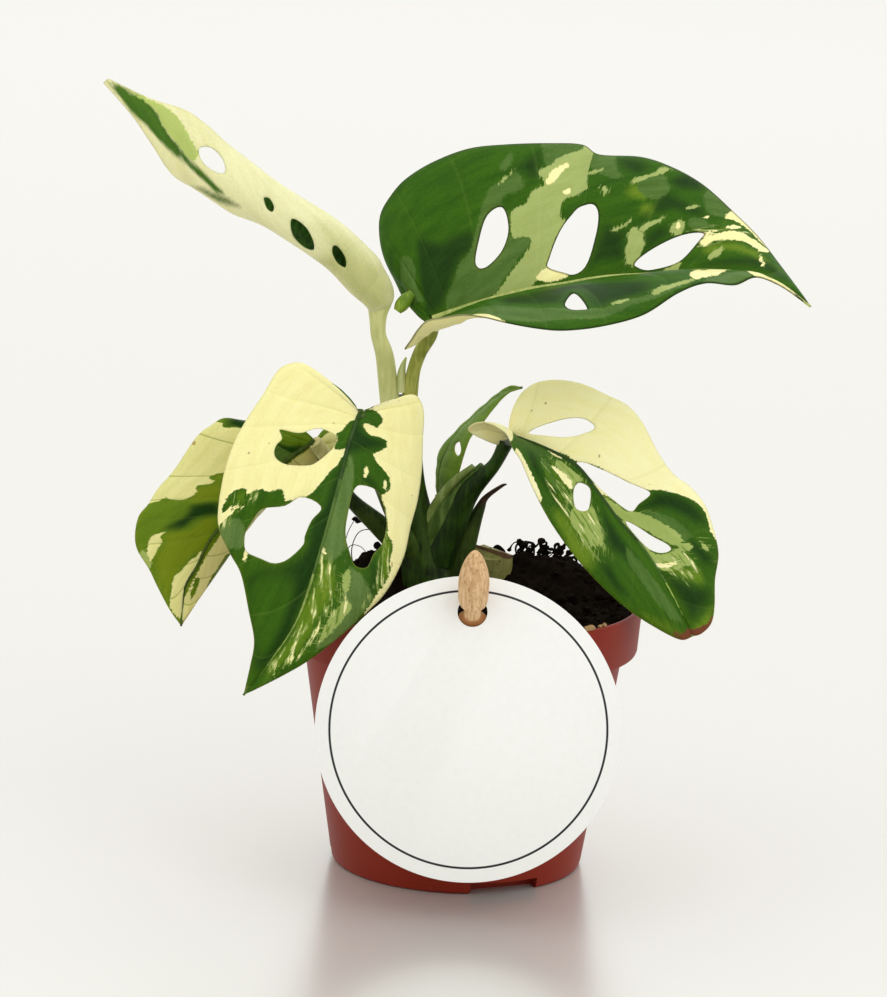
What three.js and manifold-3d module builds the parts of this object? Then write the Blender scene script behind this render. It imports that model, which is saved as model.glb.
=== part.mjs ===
// Potted variegated monstera adansonii: a young plant of six leaves in a small plastic nursery pot,
// with a round card that a turned wooden peg holds at the rim.
// Millimetres, +Z up, the origin at the centre of the pot's underside, the card on the -Y side.

import * as THREE from 'three';
import { mergeVertices } from 'three/addons/utils/BufferGeometryUtils.js';
import Module from 'manifold-3d';

const wasm = await Module();
wasm.setup();

// Driving dimensions
const CLEAR = 0.3; // gap between pieces that touch
const BLADE = 0.7; // thickness of a leaf blade
const JOINT = 1.3; // radius of the knuckle between a petiole and its blade
const MIDRIB = [0.8, 0.5]; // radius of a midrib at its base and at its tip
const RIBSIDE = 0.15; // a blade's inner edge lies this far from the midrib's centre line

const POT = {
  height: 45.7, rim: 29.9, rimFoot: 29.3, band: 8.1, wall: 26.9, base: 21.2, thick: 1, floor: 1.3,
};
const NOTCH = { width: 12, height: 2, inner: 17.5, azimuths: [23, 143, -97] };
const SOIL = { front: 43.3, rise: 4.6, edge: 28, bottom: POT.floor + CLEAR };
const CARD = { radius: 24.65, thick: 0.8, hole: 2.4, holeUp: 18.9, lean: 10, centre: [1.1, -33.1, 31.5] };
const PEG = { tilt: 38, through: [1.1, -29.8, 50.1] };

// Lumps on the soil: x, y, radius, height
const LUMPS = [
  [-16, 14, 5, 3.2], [-9, 21, 5, 1.6], [12, 19, 6, 1.8], [18, 12, 4, 1.4], [3, 22, 4, 0.8],
  [5, -15, 5, 0.8], [-14, -9, 6, 0.9], [18, -8, 5, 0.9], [-4, -20, 4, -0.6], [10, -2, 4, 0.7],
];

// Every flat leaf has a midrib from its joint to its tip, and two margins that run from the notch
// at the joint, round the basal lobe, to the tip. Left and right are those of someone who looks from
// the joint to the tip with the upper face towards them. A margin point is x, y, z, the share of
// the midrib at which its side vein starts and, where the blade is cupped, its bulge as a share of
// the vein's length. A hole's outline is a ring of [along the margin, out from the midrib] shares.
const BULGE = 0.08;

const LEAF_UPPER = {
  midrib: [[-7, 4, 92], [0.5, 3, 95], [8, 2, 97.5], [14.5, 1, 99], [21, 0, 100.5], [29, -1, 101.5],
    [36.5, -2, 102.5], [45, -3, 102.5], [50, -4, 101], [55, -4, 97.5]],
  left: [[-7.5, 4, 91.5, 0], [-8.5, 4.5, 91.5, 0], [-10, 6, 92.5, 0], [-12, 8, 94.5, 0],
    [-13.5, 10, 97, 0], [-15.5, 12, 100.5, 0], [-16.5, 14, 104, 0.01], [-16.5, 15.5, 107.5, 0.02],
    [-15, 16.5, 110.5, 0.04], [-12.5, 17, 113.5, 0.06], [-8, 17.5, 116.5, 0.1],
    [-2, 17.5, 119, 0.15], [4.5, 17, 120, 0.21], [11.5, 16.5, 120.5, 0.28], [17, 16, 120.5, 0.33],
    [20, 15.5, 119, 0.36], [27, 14, 119, 0.44], [32.5, 12.5, 117.5, 0.5], [37.5, 10.5, 115, 0.57],
    [42.5, 8, 111, 0.65], [46.5, 5, 107.5, 0.73], [50, 1, 103.5, 0.82], [53, -2.5, 100, 0.93],
    [55, -4, 97.5, 1]],
  right: [[-7.5, 4, 91, 0, -0.1], [-9, 3, 89, 0, -0.2], [-11.5, 2, 87, 0, -0.3],
    [-10.5, 0, 89, 0, -0.45], [-9.5, -2, 91, 0, -0.45], [-8, -4.5, 93, 0, -0.4],
    [-5.5, -7, 94, 0, -0.28], [-2, -9.5, 95, 0.02, -0.1], [1.5, -11.5, 95, 0.06, 0],
    [5, -13, 94.5, 0.11], [10, -14.5, 94, 0.18], [14.5, -15.5, 94, 0.25], [20.5, -16, 95, 0.33],
    [27, -15.5, 97, 0.42], [32.5, -14, 100.5, 0.52], [37, -12, 102, 0.6], [42, -9.5, 101.5, 0.68],
    [45.5, -7, 102.5, 0.78], [49.5, -5, 101, 0.9], [55, -4, 97.5, 1]],
  leftHoles: [
    [[0.512, 0.54], [0.517, 0.39], [0.503, 0.26], [0.475, 0.19], [0.46, 0.23], [0.475, 0.38],
      [0.492, 0.51]],
    [[0.652, 0.56], [0.67, 0.51], [0.675, 0.3], [0.665, 0.1], [0.63, 0.08], [0.577, 0.12],
      [0.577, 0.19], [0.603, 0.4]],
    [[0.812, 0.49], [0.815, 0.4], [0.803, 0.14], [0.772, 0.08], [0.75, 0.09], [0.747, 0.14],
      [0.78, 0.33]],
  ],
  rightHoles: [[[0.625, 0.4], [0.629, 0.71], [0.62, 0.75], [0.602, 0.71], [0.6, 0.58]]],
  petiole: [[-7, 4, 91.5, 1.2], [-7.5, 4.5, 89, 1.25], [-9, 5, 86, 1.15], [-10, 6, 82.5, 1.15],
    [-10.5, 7, 78, 1.35], [-11, 7.5, 74, 1.4]],
};

const LEAF_FRONT = {
  midrib: [[-18.5, -12, 78.5], [-20, -15.5, 74], [-21.5, -19, 67], [-24, -22.5, 57], [-27, -25, 47],
    [-31.5, -26, 39.5], [-35.5, -26, 34]],
  left: [[-18.5, -12, 78.5, 0], [-16.5, -11, 79, 0], [-13.5, -9, 80, 0], [-10.5, -7.5, 81, 0],
    [-9, -6.5, 80.5, 0], [-8, -6, 78, 0.02], [-8, -6.5, 73.5, 0.07], [-8, -8, 68.5, 0.13],
    [-8.5, -10.5, 64, 0.2], [-9.5, -13, 60, 0.27], [-10.5, -17, 55.5, 0.37], [-13, -21.5, 51, 0.5],
    [-16, -24, 48, 0.6], [-20, -26, 44.5, 0.71], [-25, -27, 40.5, 0.83], [-29.5, -26.5, 37.5, 0.92],
    [-35.5, -26, 34, 1]],
  right: [[-18.5, -12, 78.5, 0], [-21, -12.5, 81, 0], [-24, -13, 83.5, 0], [-27, -14, 86, 0],
    [-29.5, -15, 87, 0], [-31.5, -16, 86, 0.01], [-34, -17, 82, 0.03], [-36.5, -18, 78, 0.06],
    [-38.5, -19.5, 74, 0.1], [-40, -21, 68.5, 0.17], [-40.5, -22, 61.5, 0.27],
    [-38.5, -23, 57, 0.36], [-36.5, -23.5, 53.5, 0.43], [-35, -24.5, 47.5, 0.57],
    [-34, -25.5, 43, 0.7], [-34.5, -26, 39, 0.84], [-35.5, -26, 34, 1]],
  leftHoles: [
    [[0.588, 0.17], [0.56, 0.3], [0.552, 0.45], [0.598, 0.66], [0.63, 0.68], [0.67, 0.62],
      [0.677, 0.48], [0.65, 0.23], [0.625, 0.18]],
  ],
  rightHoles: [
    [[0.48, 0.65], [0.5, 0.43], [0.487, 0.3], [0.517, 0.15], [0.55, 0.11], [0.588, 0.23],
      [0.58, 0.43], [0.547, 0.61], [0.51, 0.6]],
    [[0.672, 0.83], [0.645, 0.68], [0.652, 0.46], [0.65, 0.31], [0.693, 0.12], [0.745, 0.26],
      [0.768, 0.48], [0.755, 0.69], [0.713, 0.85]],
  ],
  petiole: [[-18.5, -12, 78.5, 1.1], [-17.5, -8, 72.5, 1.1], [-15, -3, 65.5, 1.2],
    [-12, 3, 57.5, 1.4], [-8, 8, 50, 1.8]],
};

const LEAF_LEFT = {
  midrib: [[-26, -1, 71.5], [-31, -3, 68], [-36, -6, 62.5], [-42, -8, 56.5], [-44.5, -9, 51.5],
    [-46.5, -9.5, 47.5], [-47, -9, 41]],
  left: [[-26, -1, 71.5, 0], [-24.5, 2, 73, 0], [-22.5, 5, 72, 0], [-21.5, 7, 69.5, 0.03],
    [-23, 8, 66.5, 0.08], [-25.5, 8, 64, 0.15], [-29, 7, 62.5, 0.25], [-32.5, 5, 60.5, 0.35],
    [-34.5, 4, 58.5, 0.42], [-37, 1, 55.5, 0.55], [-39.5, -2, 52, 0.68], [-42, -5, 48.5, 0.8],
    [-44.5, -8, 45, 0.92], [-47, -9, 41, 1]],
  right: [[-26.5, -1, 71.5, 0], [-28.5, -0.5, 73.5, 0], [-32.5, 0, 74.5, 0],
    [-37.5, -1, 74.5, 0.02], [-41, -2, 75, 0.05], [-43, -3, 74, 0.08], [-45.5, -4, 72, 0.12],
    [-49, -5, 66.5, 0.2], [-51.5, -6, 63.5, 0.27], [-53, -7, 61, 0.33], [-54.5, -7.5, 59, 0.38],
    [-55, -8, 56, 0.45], [-54.5, -8.5, 53.5, 0.52], [-52.5, -9, 50.5, 0.62], [-51, -9, 47.5, 0.73],
    [-49, -9.5, 44, 0.87], [-47, -9, 41, 1]],
  leftHoles: [],
  rightHoles: [],
  petiole: [[-26, -1, 71.5, 1.1], [-23.5, 1, 67, 1.1], [-20, 4, 61, 1.2], [-15, 6.5, 56, 1.8],
    [-10, 8.5, 51, 2.2]],
};

const LEAF_RIGHT = {
  midrib: [[6.5, 2, 73], [12.5, -1, 71.5], [17.5, -4, 69.5], [21, -7, 66], [24.5, -9.5, 62],
    [29, -12, 57.5], [33, -14, 52], [37.5, -16, 44]],
  left: [[6.5, 2, 73, 0], [6.5, 3, 75, 0], [7, 4, 77.5, 0], [8.5, 5, 80, 0.01],
    [11, 6, 81.5, 0.04], [14.5, 6, 82, 0.08], [18.5, 5.5, 81.5, 0.13], [22.5, 4.5, 80, 0.19],
    [26, 3.5, 78.5, 0.25], [28.5, 2, 76, 0.31], [31.5, 0, 71, 0.4], [34, -1.5, 68, 0.47],
    [36.5, -3, 66.5, 0.53], [39, -5, 64, 0.6], [40.5, -7, 60.5, 0.67], [41.5, -9, 56.5, 0.74],
    [41, -11, 52.5, 0.81], [41, -13, 48.5, 0.89], [40.5, -14.5, 46, 0.95], [39, -15.5, 44.5, 0.985],
    [37.5, -16, 44, 1]],
  right: [[5.5, 2, 72, 0], [4.5, 1.5, 71.5, 0], [2, 0.5, 72.5, 0], [-0.5, 0, 74, 0],
    [0.5, -1.5, 75.5, 0], [2.5, -3, 76, 0], [4.5, -4.5, 75.5, 0], [6, -5.5, 74.5, 0.01],
    [7, -6.5, 72.5, 0.04], [8.5, -8, 70.5, 0.08], [10.5, -10, 66.5, 0.16], [13.5, -12, 61.5, 0.26],
    [17.5, -14, 56.5, 0.38], [22, -15.5, 52, 0.5], [27, -16.5, 48, 0.64], [32, -16.5, 45, 0.8],
    [35.5, -16.5, 43.5, 0.93], [37.5, -16, 44, 1]],
  leftHoles: [
    [[0.233, 0.12], [0.29, 0.34], [0.343, 0.53], [0.38, 0.53], [0.39, 0.43], [0.338, 0.21]],
    [[0.43, 0.06], [0.47, 0.16], [0.51, 0.31], [0.588, 0.51], [0.615, 0.29], [0.625, 0.16],
      [0.57, 0.1], [0.485, 0.06]],
    [[0.647, 0.06], [0.698, 0.18], [0.738, 0.33], [0.748, 0.16], [0.723, 0.06]],
  ],
  rightHoles: [[[0.682, 0.17], [0.713, 0.1], [0.718, 0.34], [0.69, 0.51], [0.675, 0.36]]],
  petiole: [[6, 2, 72, 1.3], [4, 3.5, 67.5, 1.15], [0, 6, 62.5, 2], [-2.5, 7.5, 57, 2.6],
    [-5, 8.5, 50, 3.2]],
};

const LEAF_SMALL = {
  midrib: [[-5, 11, 60], [-5, 11.5, 65], [-3, 12, 70], [0.5, 12.5, 74], [5, 12.5, 78],
    [8.5, 12, 79.5]],
  left: [[-5, 11, 60, 0], [-5.5, 12, 61.5, 0.03], [-5.5, 13, 65, 0.15], [-5, 14, 68, 0.3],
    [-2, 14.5, 71.5, 0.5], [1.5, 14.5, 75, 0.7], [4.5, 14, 78, 0.85], [6.5, 13, 79.5, 0.93],
    [8.5, 12, 79.5, 1]],
  right: [[-4.5, 11, 59.5, 0], [-3.5, 9, 61, 0.05], [-2, 7.5, 64.5, 0.18], [-1, 7, 68.5, 0.33],
    [0, 7, 71.5, 0.5], [2, 8, 74, 0.65], [4, 9.5, 76.5, 0.8], [6, 11, 78.5, 0.92],
    [8.5, 12, 79.5, 1]],
  leftHoles: [],
  rightHoles: [[[0.415, 0.44], [0.435, 0.6], [0.41, 0.8], [0.375, 0.84], [0.36, 0.74], [0.383, 0.5]]],
  petiole: [[-5, 11, 60.5, 0.65], [-5, 12, 57, 0.65], [-5, 13.8, 51.5, 0.7], [-5, 12, 45, 0.8]],
};

// The youngest leaf is still rolled round its midrib. A station is a midrib point x, y, z, then the
// width, the starting direction and the turn in degrees of its upper half and of its lower half.
// A direction of 0 leads straight up from the midrib, and one of 90 leads towards -Y.
const LEAF_NEW = {
  stations: [
    [-18, 5, 91.2, 5.4, 85, 180, 3.2, -95, -105], [-18.3, 5, 93, 9.6, 85, 186, 6.4, -95, -128],
    [-21, 5, 96, 11.6, 85, 190, 8.4, -95, -140], [-24.5, 5, 99.5, 11.6, 85, 190, 8.4, -95, -140],
    [-28.5, 5, 102.3, 12, 85, 190, 8.6, -95, -140], [-34.5, 5, 106, 11.4, 85, 186, 8, -106, -134],
    [-40, 4, 109.5, 10.6, 70, 165, 7, -150, -120], [-46, 3, 115, 7.7, 45, 112, 5.8, -158, -55],
    [-49.5, 2.5, 118.3, 6.7, 28, 64, 4.2, -165, -30], [-53, 2, 121.2, 6, 20, 40, 2.3, -165, -20],
    [-57, 1.5, 124.8, 3.6, 15, 20, 0.8, -170, -15], [-62, 1, 130, 0.6, 10, 10, 0.5, -170, -10],
  ],
  holes: [
    [[0.697, 0.45], [0.673, 0.62], [0.637, 0.62], [0.613, 0.47], [0.613, 0.34], [0.64, 0.24],
      [0.677, 0.3]],
    [[0.517, 0.5], [0.503, 0.54], [0.483, 0.48], [0.48, 0.4], [0.497, 0.4]],
    [[0.43, 0.45], [0.42, 0.5], [0.393, 0.47], [0.363, 0.35], [0.353, 0.24], [0.377, 0.16],
      [0.407, 0.25]],
    [[0.313, 0.47], [0.3, 0.51], [0.267, 0.46], [0.25, 0.36], [0.27, 0.32], [0.3, 0.38]],
  ],
  petiole: [[-16.3, 5, 92.5, 1.5], [-16, 5.5, 88.5, 1.25], [-15, 6, 85.5, 1.5],
    [-14.5, 6.5, 82.5, 1.6], [-13.5, 7, 75, 1.7]],
};

// Stems as centre lines with a radius: x, y, z, r
const STEM = [[-12.2, 7.4, 78.2, 0.8], [-11.7, 7.6, 75.5, 2.4], [-11, 8, 70.5, 2.6], [-10, 8.5, 62, 2.8], [-8, 9, 53, 3.6],
  [-6, 9, 44.5, 4.6], [-5.5, 9, 34, 4], [-5.5, 9, 24, 2.4]];
const CATAPHYLL = [[-1.5, 9.5, 45, 2.4], [-1, 9.5, 49.5, 2.2], [0.5, 9, 55, 1.6], [2, 8.5, 59, 0.9],
  [3, 8.5, 61, 0.5], [5.5, 8.5, 63, 0.35]];
const STUB = [[5, 14.5, 30, 3.1], [5, 14.2, 40, 3.2], [4.9, 14, 51.8, 3.2]];

// A point on the smooth curve through rows of numbers, at a share t of the way along
function along(rows, t) {
  const last = rows.length - 1;
  const i = Math.min(Math.floor(t * last), last - 1);
  const f = t * last - i;
  const row = (k) => rows[k] ?? rows[k < 0 ? 0 : last].map((x, c) => 2 * x - rows[k < 0 ? 1 : last - 1][c]);
  const [a, b, c, d] = [row(i - 1), row(i), row(i + 1), row(i + 2)];
  return b.map((p, k) => 0.5 * (2 * p + (c[k] - a[k]) * f
    + (2 * a[k] - 5 * p + 4 * c[k] - d[k]) * f * f + (3 * p - a[k] - 3 * c[k] + d[k]) * f * f * f));
}

const vector = (row) => new THREE.Vector3(row[0], row[1], row[2]);

// A closed solid from a closed geometry, with flat triangles left out
function solid(geometry) {
  geometry.deleteAttribute('normal');
  geometry.deleteAttribute('uv');
  const merged = mergeVertices(geometry, 1e-3);
  const index = merged.index.array;
  const kept = [];
  for (let i = 0; i < index.length; i += 3) {
    const [a, b, c] = index.slice(i, i + 3);
    if (a !== b && b !== c && c !== a) kept.push(a, b, c);
  }
  return new wasm.Manifold(new wasm.Mesh({
    numProp: 3,
    vertProperties: new Float32Array(merged.attributes.position.array),
    triVerts: new Uint32Array(kept),
  }));
}

// The largest body of a solid, so that scraps of a cut fall away
const largest = (body) => body.decompose().sort((a, b) => b.volume() - a.volume())[0];

function surface(body) {
  const { vertProperties, triVerts } = body.getMesh();
  const geometry = new THREE.BufferGeometry();
  geometry.setAttribute('position', new THREE.BufferAttribute(new Float32Array(vertProperties), 3));
  geometry.setIndex(Array.from(triVerts));
  return geometry;
}

function piece(name, body, color, roughness) {
  let settled = body;
  for (let pass = 0; pass < 3; pass += 1) {
    settled = solid(surface(largest(settled.asOriginal().simplify(0.05))));
  }
  const geometry = surface(largest(settled));
  geometry.computeVertexNormals();
  const material = new THREE.MeshStandardMaterial({ color, roughness, metalness: 0 });
  const mesh = new THREE.Mesh(geometry, material);
  mesh.name = name;
  return mesh;
}

// A round stem along a centre line whose radius changes, grown all round by a clearance
function stem(rows, grow = 0, sides = 8, steps = 9) {
  const curve = new THREE.CatmullRomCurve3(rows.map(vector), false, 'catmullrom', 0.5);
  const frames = curve.computeFrenetFrames(steps);
  const geometry = new THREE.CylinderGeometry(1, 1, 1, sides, steps);
  const place = geometry.attributes.position;
  for (let i = 0; i < place.count; i += 1) {
    const t = 0.5 - place.getY(i);
    const radius = along(rows, curve.getUtoTmapping(t))[3] + grow;
    const k = Math.round(t * steps);
    const at = curve.getPointAt(t);
    at.addScaledVector(frames.normals[k], place.getX(i) * radius);
    at.addScaledVector(frames.binormals[k], place.getZ(i) * radius);
    if (k === 0) at.addScaledVector(frames.tangents[0], -grow);
    if (k === steps) at.addScaledVector(frames.tangents[steps], grow);
    place.setXYZ(i, at.x, at.y, at.z);
  }
  return solid(geometry);
}

// The unit normal of a surface at(u, v), in the sense of u turned to v
function normalAt(at, u, v, step = 0.004) {
  const [u0, u1] = [Math.max(u - step, 0), Math.min(u + step, 1)];
  const [v0, v1] = [v - step, v + step];
  const du = at(u1, v).sub(at(u0, v));
  const dv = at(u, v1).sub(at(u, v0));
  return du.cross(dv).normalize();
}

// A closed sheet of even thickness over a surface, with both faces split alike. Its inner edge may
// vary along the way.
function sheet(at, [u0, u1], [inner, v1], rows, columns) {
  const points = [];
  const faces = [];
  const number = (i, j, side) => 2 * (i * (columns + 1) + j) + side;
  for (let i = 0; i <= rows; i += 1) {
    for (let j = 0; j <= columns; j += 1) {
      const u = u0 + (u1 - u0) * i / rows;
      const v0 = typeof inner === 'function' ? inner(u) : inner;
      const v = v0 + (v1 - v0) * j / columns;
      const normal = normalAt(at, u, v);
      for (const half of [0.5, -0.5]) {
        points.push(...at(u, v).addScaledVector(normal, half * BLADE).toArray());
      }
    }
  }
  const quad = (a, b, c, d) => faces.push(a, b, c, a, c, d);
  for (let i = 0; i < rows; i += 1) {
    for (let j = 0; j < columns; j += 1) {
      const corners = [[i, j], [i + 1, j], [i + 1, j + 1], [i, j + 1]];
      quad(...corners.map(([a, b]) => number(a, b, 0)));
      const [a, b, c, d] = corners.map(([p, q]) => number(p, q, 1));
      faces.push(a, c, b, a, d, c);
    }
  }
  const wall = (a, b) => quad(number(...a, 1), number(...b, 1), number(...b, 0), number(...a, 0));
  for (let i = 0; i < rows; i += 1) {
    wall([i, 0], [i + 1, 0]);
    wall([i + 1, columns], [i, columns]);
  }
  for (let j = 0; j < columns; j += 1) {
    wall([0, j + 1], [0, j]);
    wall([rows, j], [rows, j + 1]);
  }
  return new wasm.Manifold(new wasm.Mesh({
    numProp: 3, vertProperties: new Float32Array(points), triVerts: new Uint32Array(faces),
  }));
}

// The plug that cuts one hole: its outline carried well through the surface on both faces
function plug(at, outline, reach = 2.2, steps = 12) {
  const ring = [];
  const closed = [...outline, outline[0]];
  const before = outline[outline.length - 1];
  for (let k = 0; k < steps; k += 1) {
    const t = k / steps * outline.length;
    const i = Math.floor(t);
    const rows = [closed[i - 1] ?? before, closed[i], closed[i + 1], closed[i + 2] ?? outline[1]];
    ring.push(along(rows, (1 + t - i) / 3));
  }
  const middle = [0, 1].map((c) => ring.reduce((sum, p) => sum + p[c], 0) / steps);
  const points = [];
  for (const [u, v] of [...ring, middle]) {
    const normal = normalAt(at, u, v);
    for (const side of [1, -1]) points.push(...at(u, v).addScaledVector(normal, side * reach).toArray());
  }
  const area = ring.reduce((sum, [u, v], k) => {
    const [p, q] = ring[(k + 1) % steps];
    return sum + u * q - p * v;
  }, 0);
  const faces = [];
  for (let k = 0; k < steps; k += 1) {
    const [a, b, m] = [2 * k, 2 * ((k + 1) % steps), 2 * steps];
    const turned = [[a, b, m], [b + 1, a + 1, m + 1], [a, a + 1, b + 1], [a, b + 1, b]];
    for (const face of turned) faces.push(...(area > 0 ? face : face.reverse()));
  }
  return new wasm.Manifold(new wasm.Mesh({
    numProp: 3, vertProperties: new Float32Array(points), triVerts: new Uint32Array(faces),
  }));
}

// The upper surface of half a leaf: u runs along the margin and v from the midrib outwards
function halfBlade(leaf, side) {
  const margin = leaf[side].map((row) => (row.length > 4 ? row : [...row, BULGE]));
  const hand = side === 'left' ? 1 : -1;
  const rib = (m) => vector(along(leaf.midrib, THREE.MathUtils.clamp(m, 0, 1)));
  let lobe = 0;
  while (along(margin, lobe)[3] < 0.03) lobe += 0.0025;
  return (u, v) => {
    const edge = along(margin, THREE.MathUtils.clamp(u, 0, 1));
    const start = rib(edge[3]);
    const vein = vector(edge).sub(start);
    const first = along(margin, THREE.MathUtils.clamp(Math.max(u, lobe), 0, 1));
    const forward = rib(first[3] + 0.01).sub(rib(first[3] - 0.01));
    const up = forward.cross(vector(first).sub(rib(first[3]))).multiplyScalar(hand);
    const aim = vein.clone().normalize();
    up.addScaledVector(aim, -up.dot(aim)).normalize();
    const bulge = edge[4] * vein.length() * 4 * v * (1 - v);
    return start.addScaledVector(vein, v).addScaledVector(up, bulge);
  };
}

// One whole leaf: two half blades with their holes, a raised midrib, the knuckle and the petiole
function flatLeaf(leaf, rows = 18) {
  let body = stem(leaf.petiole);
  body = body.add(stem(leaf.midrib.map((p, i) => {
    const share = i / (leaf.midrib.length - 1);
    return [...p, THREE.MathUtils.lerp(...MIDRIB, share)];
  }), 0, 6));
  const knuckle = new THREE.SphereGeometry(JOINT * leaf.petiole[0][3] / 1.2, 10, 8);
  knuckle.translate(...leaf.midrib[0]);
  body = body.add(solid(knuckle));
  for (const side of ['left', 'right']) {
    const at = halfBlade(leaf, side);
    const inner = (u) => Math.min(RIBSIDE / at(u, 0).distanceTo(at(u, 1)), 0.6);
    let half = sheet(at, [0.03, 0.985], [inner, 1], rows, 3);
    for (const outline of leaf[`${side}Holes`]) half = half.subtract(plug(at, outline));
    body = body.add(half);
  }
  return body;
}

// The surface of the rolled leaf: u runs from its base to its tip, v from -1 to 1 across the midrib
function rolledAt(u, v) {
  const share = THREE.MathUtils.clamp(u, 0, 1);
  const row = along(LEAF_NEW.stations, share);
  const ahead = vector(along(LEAF_NEW.stations, Math.min(share + 0.01, 1)));
  const forward = ahead.sub(vector(along(LEAF_NEW.stations, Math.max(share - 0.01, 0)))).normalize();
  const front = new THREE.Vector3(0, -1, 0);
  front.addScaledVector(forward, -front.dot(forward)).normalize();
  const rise = forward.clone().cross(front);
  const [width, heading, turn] = v > 0 ? row.slice(3, 6) : row.slice(6, 9);
  const [from, bend] = [THREE.MathUtils.degToRad(heading), THREE.MathUtils.degToRad(turn)];
  const to = from - bend * Math.abs(v);
  return vector(row)
    .addScaledVector(rise, width / bend * (Math.sin(from) - Math.sin(to)))
    .addScaledVector(front, width / bend * (Math.cos(to) - Math.cos(from)));
}

function rolledLeaf() {
  let body = sheet(rolledAt, [0.01, 0.99], [-1, 1], 20, 10);
  for (const outline of LEAF_NEW.holes) body = body.subtract(plug(rolledAt, outline, 1.6));
  return body.add(stem(LEAF_NEW.petiole));
}

// A ring profile of [radius, height] points turned round the pot's axis
function turned(profile, segments = 40) {
  const geometry = new THREE.LatheGeometry(profile.map(([r, z]) => new THREE.Vector2(r, z)), segments);
  geometry.rotateX(Math.PI / 2);
  return geometry;
}

const wallAt = (z) => POT.base + (POT.wall - POT.base) * z / (POT.height - POT.band);

function potBody() {
  const foot = POT.height - POT.band;
  const inner = foot + POT.thick;
  let body = solid(turned([
    [0, 0], [POT.base - 0.6, 0], [POT.base, 0.6], [POT.wall, foot], [POT.rimFoot - 0.4, foot],
    [POT.rimFoot, foot + 0.4], [POT.rim, POT.height - 0.4], [POT.rim - 0.3, POT.height],
    [POT.rim - 0.8, POT.height], [POT.rim - 1, POT.height - 0.4], [POT.rimFoot - 1, inner + 0.3],
    [wallAt(inner) - POT.thick, inner - 0.3], [wallAt(POT.floor + 0.6) - POT.thick, POT.floor + 0.6],
    [POT.base - 1.6, POT.floor], [0, POT.floor],
  ]));
  for (const azimuth of NOTCH.azimuths) {
    const depth = POT.base + 2 - NOTCH.inner;
    const notch = new THREE.BoxGeometry(NOTCH.width, depth, 2 * NOTCH.height);
    notch.translate(0, -NOTCH.inner - depth / 2, 0);
    notch.rotateZ(THREE.MathUtils.degToRad(azimuth));
    body = body.subtract(solid(notch));
  }
  return body;
}

function soilHeight(x, y) {
  const radius = Math.hypot(x, y);
  const back = THREE.MathUtils.smoothstep(y, 0, 19);
  const crown = 1 - 0.6 * THREE.MathUtils.smoothstep(radius, 19, SOIL.edge);
  let height = SOIL.front + SOIL.rise * back * crown;
  for (const [cx, cy, r, h] of LUMPS) {
    height += h * crown * Math.exp(-((x - cx) ** 2 + (y - cy) ** 2) / (r * r));
  }
  return height + 0.35 * Math.sin(1.1 * x + 0.6 * y) * Math.cos(0.8 * y - 0.7 * x);
}

function soilBody() {
  const ledge = POT.height - POT.band + POT.thick;
  const rings = [27.2, 23.5, 19.5, 15.5, 11.5, 7.5, 3.5];
  const gap = POT.thick + CLEAR;
  const geometry = turned([
    [0, SOIL.bottom], [wallAt(SOIL.bottom) - gap - 0.8, SOIL.bottom],
    [wallAt(SOIL.bottom + 1) - gap, SOIL.bottom + 1], [wallAt(ledge) - gap, ledge - 0.2],
    [POT.rimFoot - gap, ledge + 0.7], [SOIL.edge, SOIL.front - 1],
    ...rings.map((r) => [r, SOIL.front]), [0, SOIL.front],
  ], 32);
  const place = geometry.attributes.position;
  for (let i = 0; i < place.count; i += 1) {
    if (place.getZ(i) > SOIL.front - 0.5) {
      place.setZ(i, soilHeight(place.getX(i), place.getY(i)));
    }
  }
  return solid(geometry);
}

function cardBody() {
  const shape = new THREE.Shape().absarc(0, 0, CARD.radius, 0, 2 * Math.PI);
  shape.holes.push(new THREE.Path().absarc(0, CARD.holeUp, CARD.hole, 0, 2 * Math.PI, true));
  const geometry = new THREE.ExtrudeGeometry(shape, {
    depth: CARD.thick, bevelEnabled: false, curveSegments: 20,
  });
  geometry.translate(0, 0, -CARD.thick / 2);
  geometry.rotateX(THREE.MathUtils.degToRad(90 - CARD.lean));
  geometry.translate(...CARD.centre);
  return solid(geometry);
}

function pegBody(grow = 0) {
  const profile = [[0, -25], [0.9, -24], [1.35, -21], [1.35, 2.1], [2.2, 3.2], [2.5, 4.6], [2.4, 7],
    [1.95, 10], [1.35, 12.8], [0.7, 14.8], [0, 15.4]];
  const geometry = turned(profile.map(([r, z], i) => [i % 10 === 0 ? 0 : r + grow, z]), 16);
  geometry.rotateX(THREE.MathUtils.degToRad(PEG.tilt));
  geometry.translate(...PEG.through);
  return solid(geometry);
}

// Each leaf stops a clearance short of the stems that it grows beside
const leaves = [
  ['leaf_upper', flatLeaf(LEAF_UPPER), [STEM], 0x3f6b2a],
  ['leaf_new', rolledLeaf(), [STEM, LEAF_UPPER.petiole], 0xd9dba0],
  ['leaf_right', flatLeaf(LEAF_RIGHT), [STEM], 0x5a7f3a],
  ['leaf_left', flatLeaf(LEAF_LEFT, 16), [STEM, LEAF_RIGHT.petiole], 0x6f8f3f],
  ['leaf_front', flatLeaf(LEAF_FRONT), [STEM, LEAF_LEFT.petiole, LEAF_RIGHT.petiole], 0xb9c07a],
  ['leaf_small', flatLeaf(LEAF_SMALL, 9), [STEM, LEAF_RIGHT.petiole], 0x5f9a30],
];

let soil = soilBody();
for (const rows of [STEM, STUB, CATAPHYLL, LEAF_SMALL.petiole, LEAF_RIGHT.petiole]) {
  soil = soil.subtract(stem(rows, CLEAR));
}
soil = soil.subtract(pegBody(CLEAR));

let cataphyll = stem(CATAPHYLL);
for (const rows of [STEM, LEAF_RIGHT.petiole, LEAF_SMALL.petiole]) {
  cataphyll = cataphyll.subtract(stem(rows, CLEAR));
}

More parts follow.
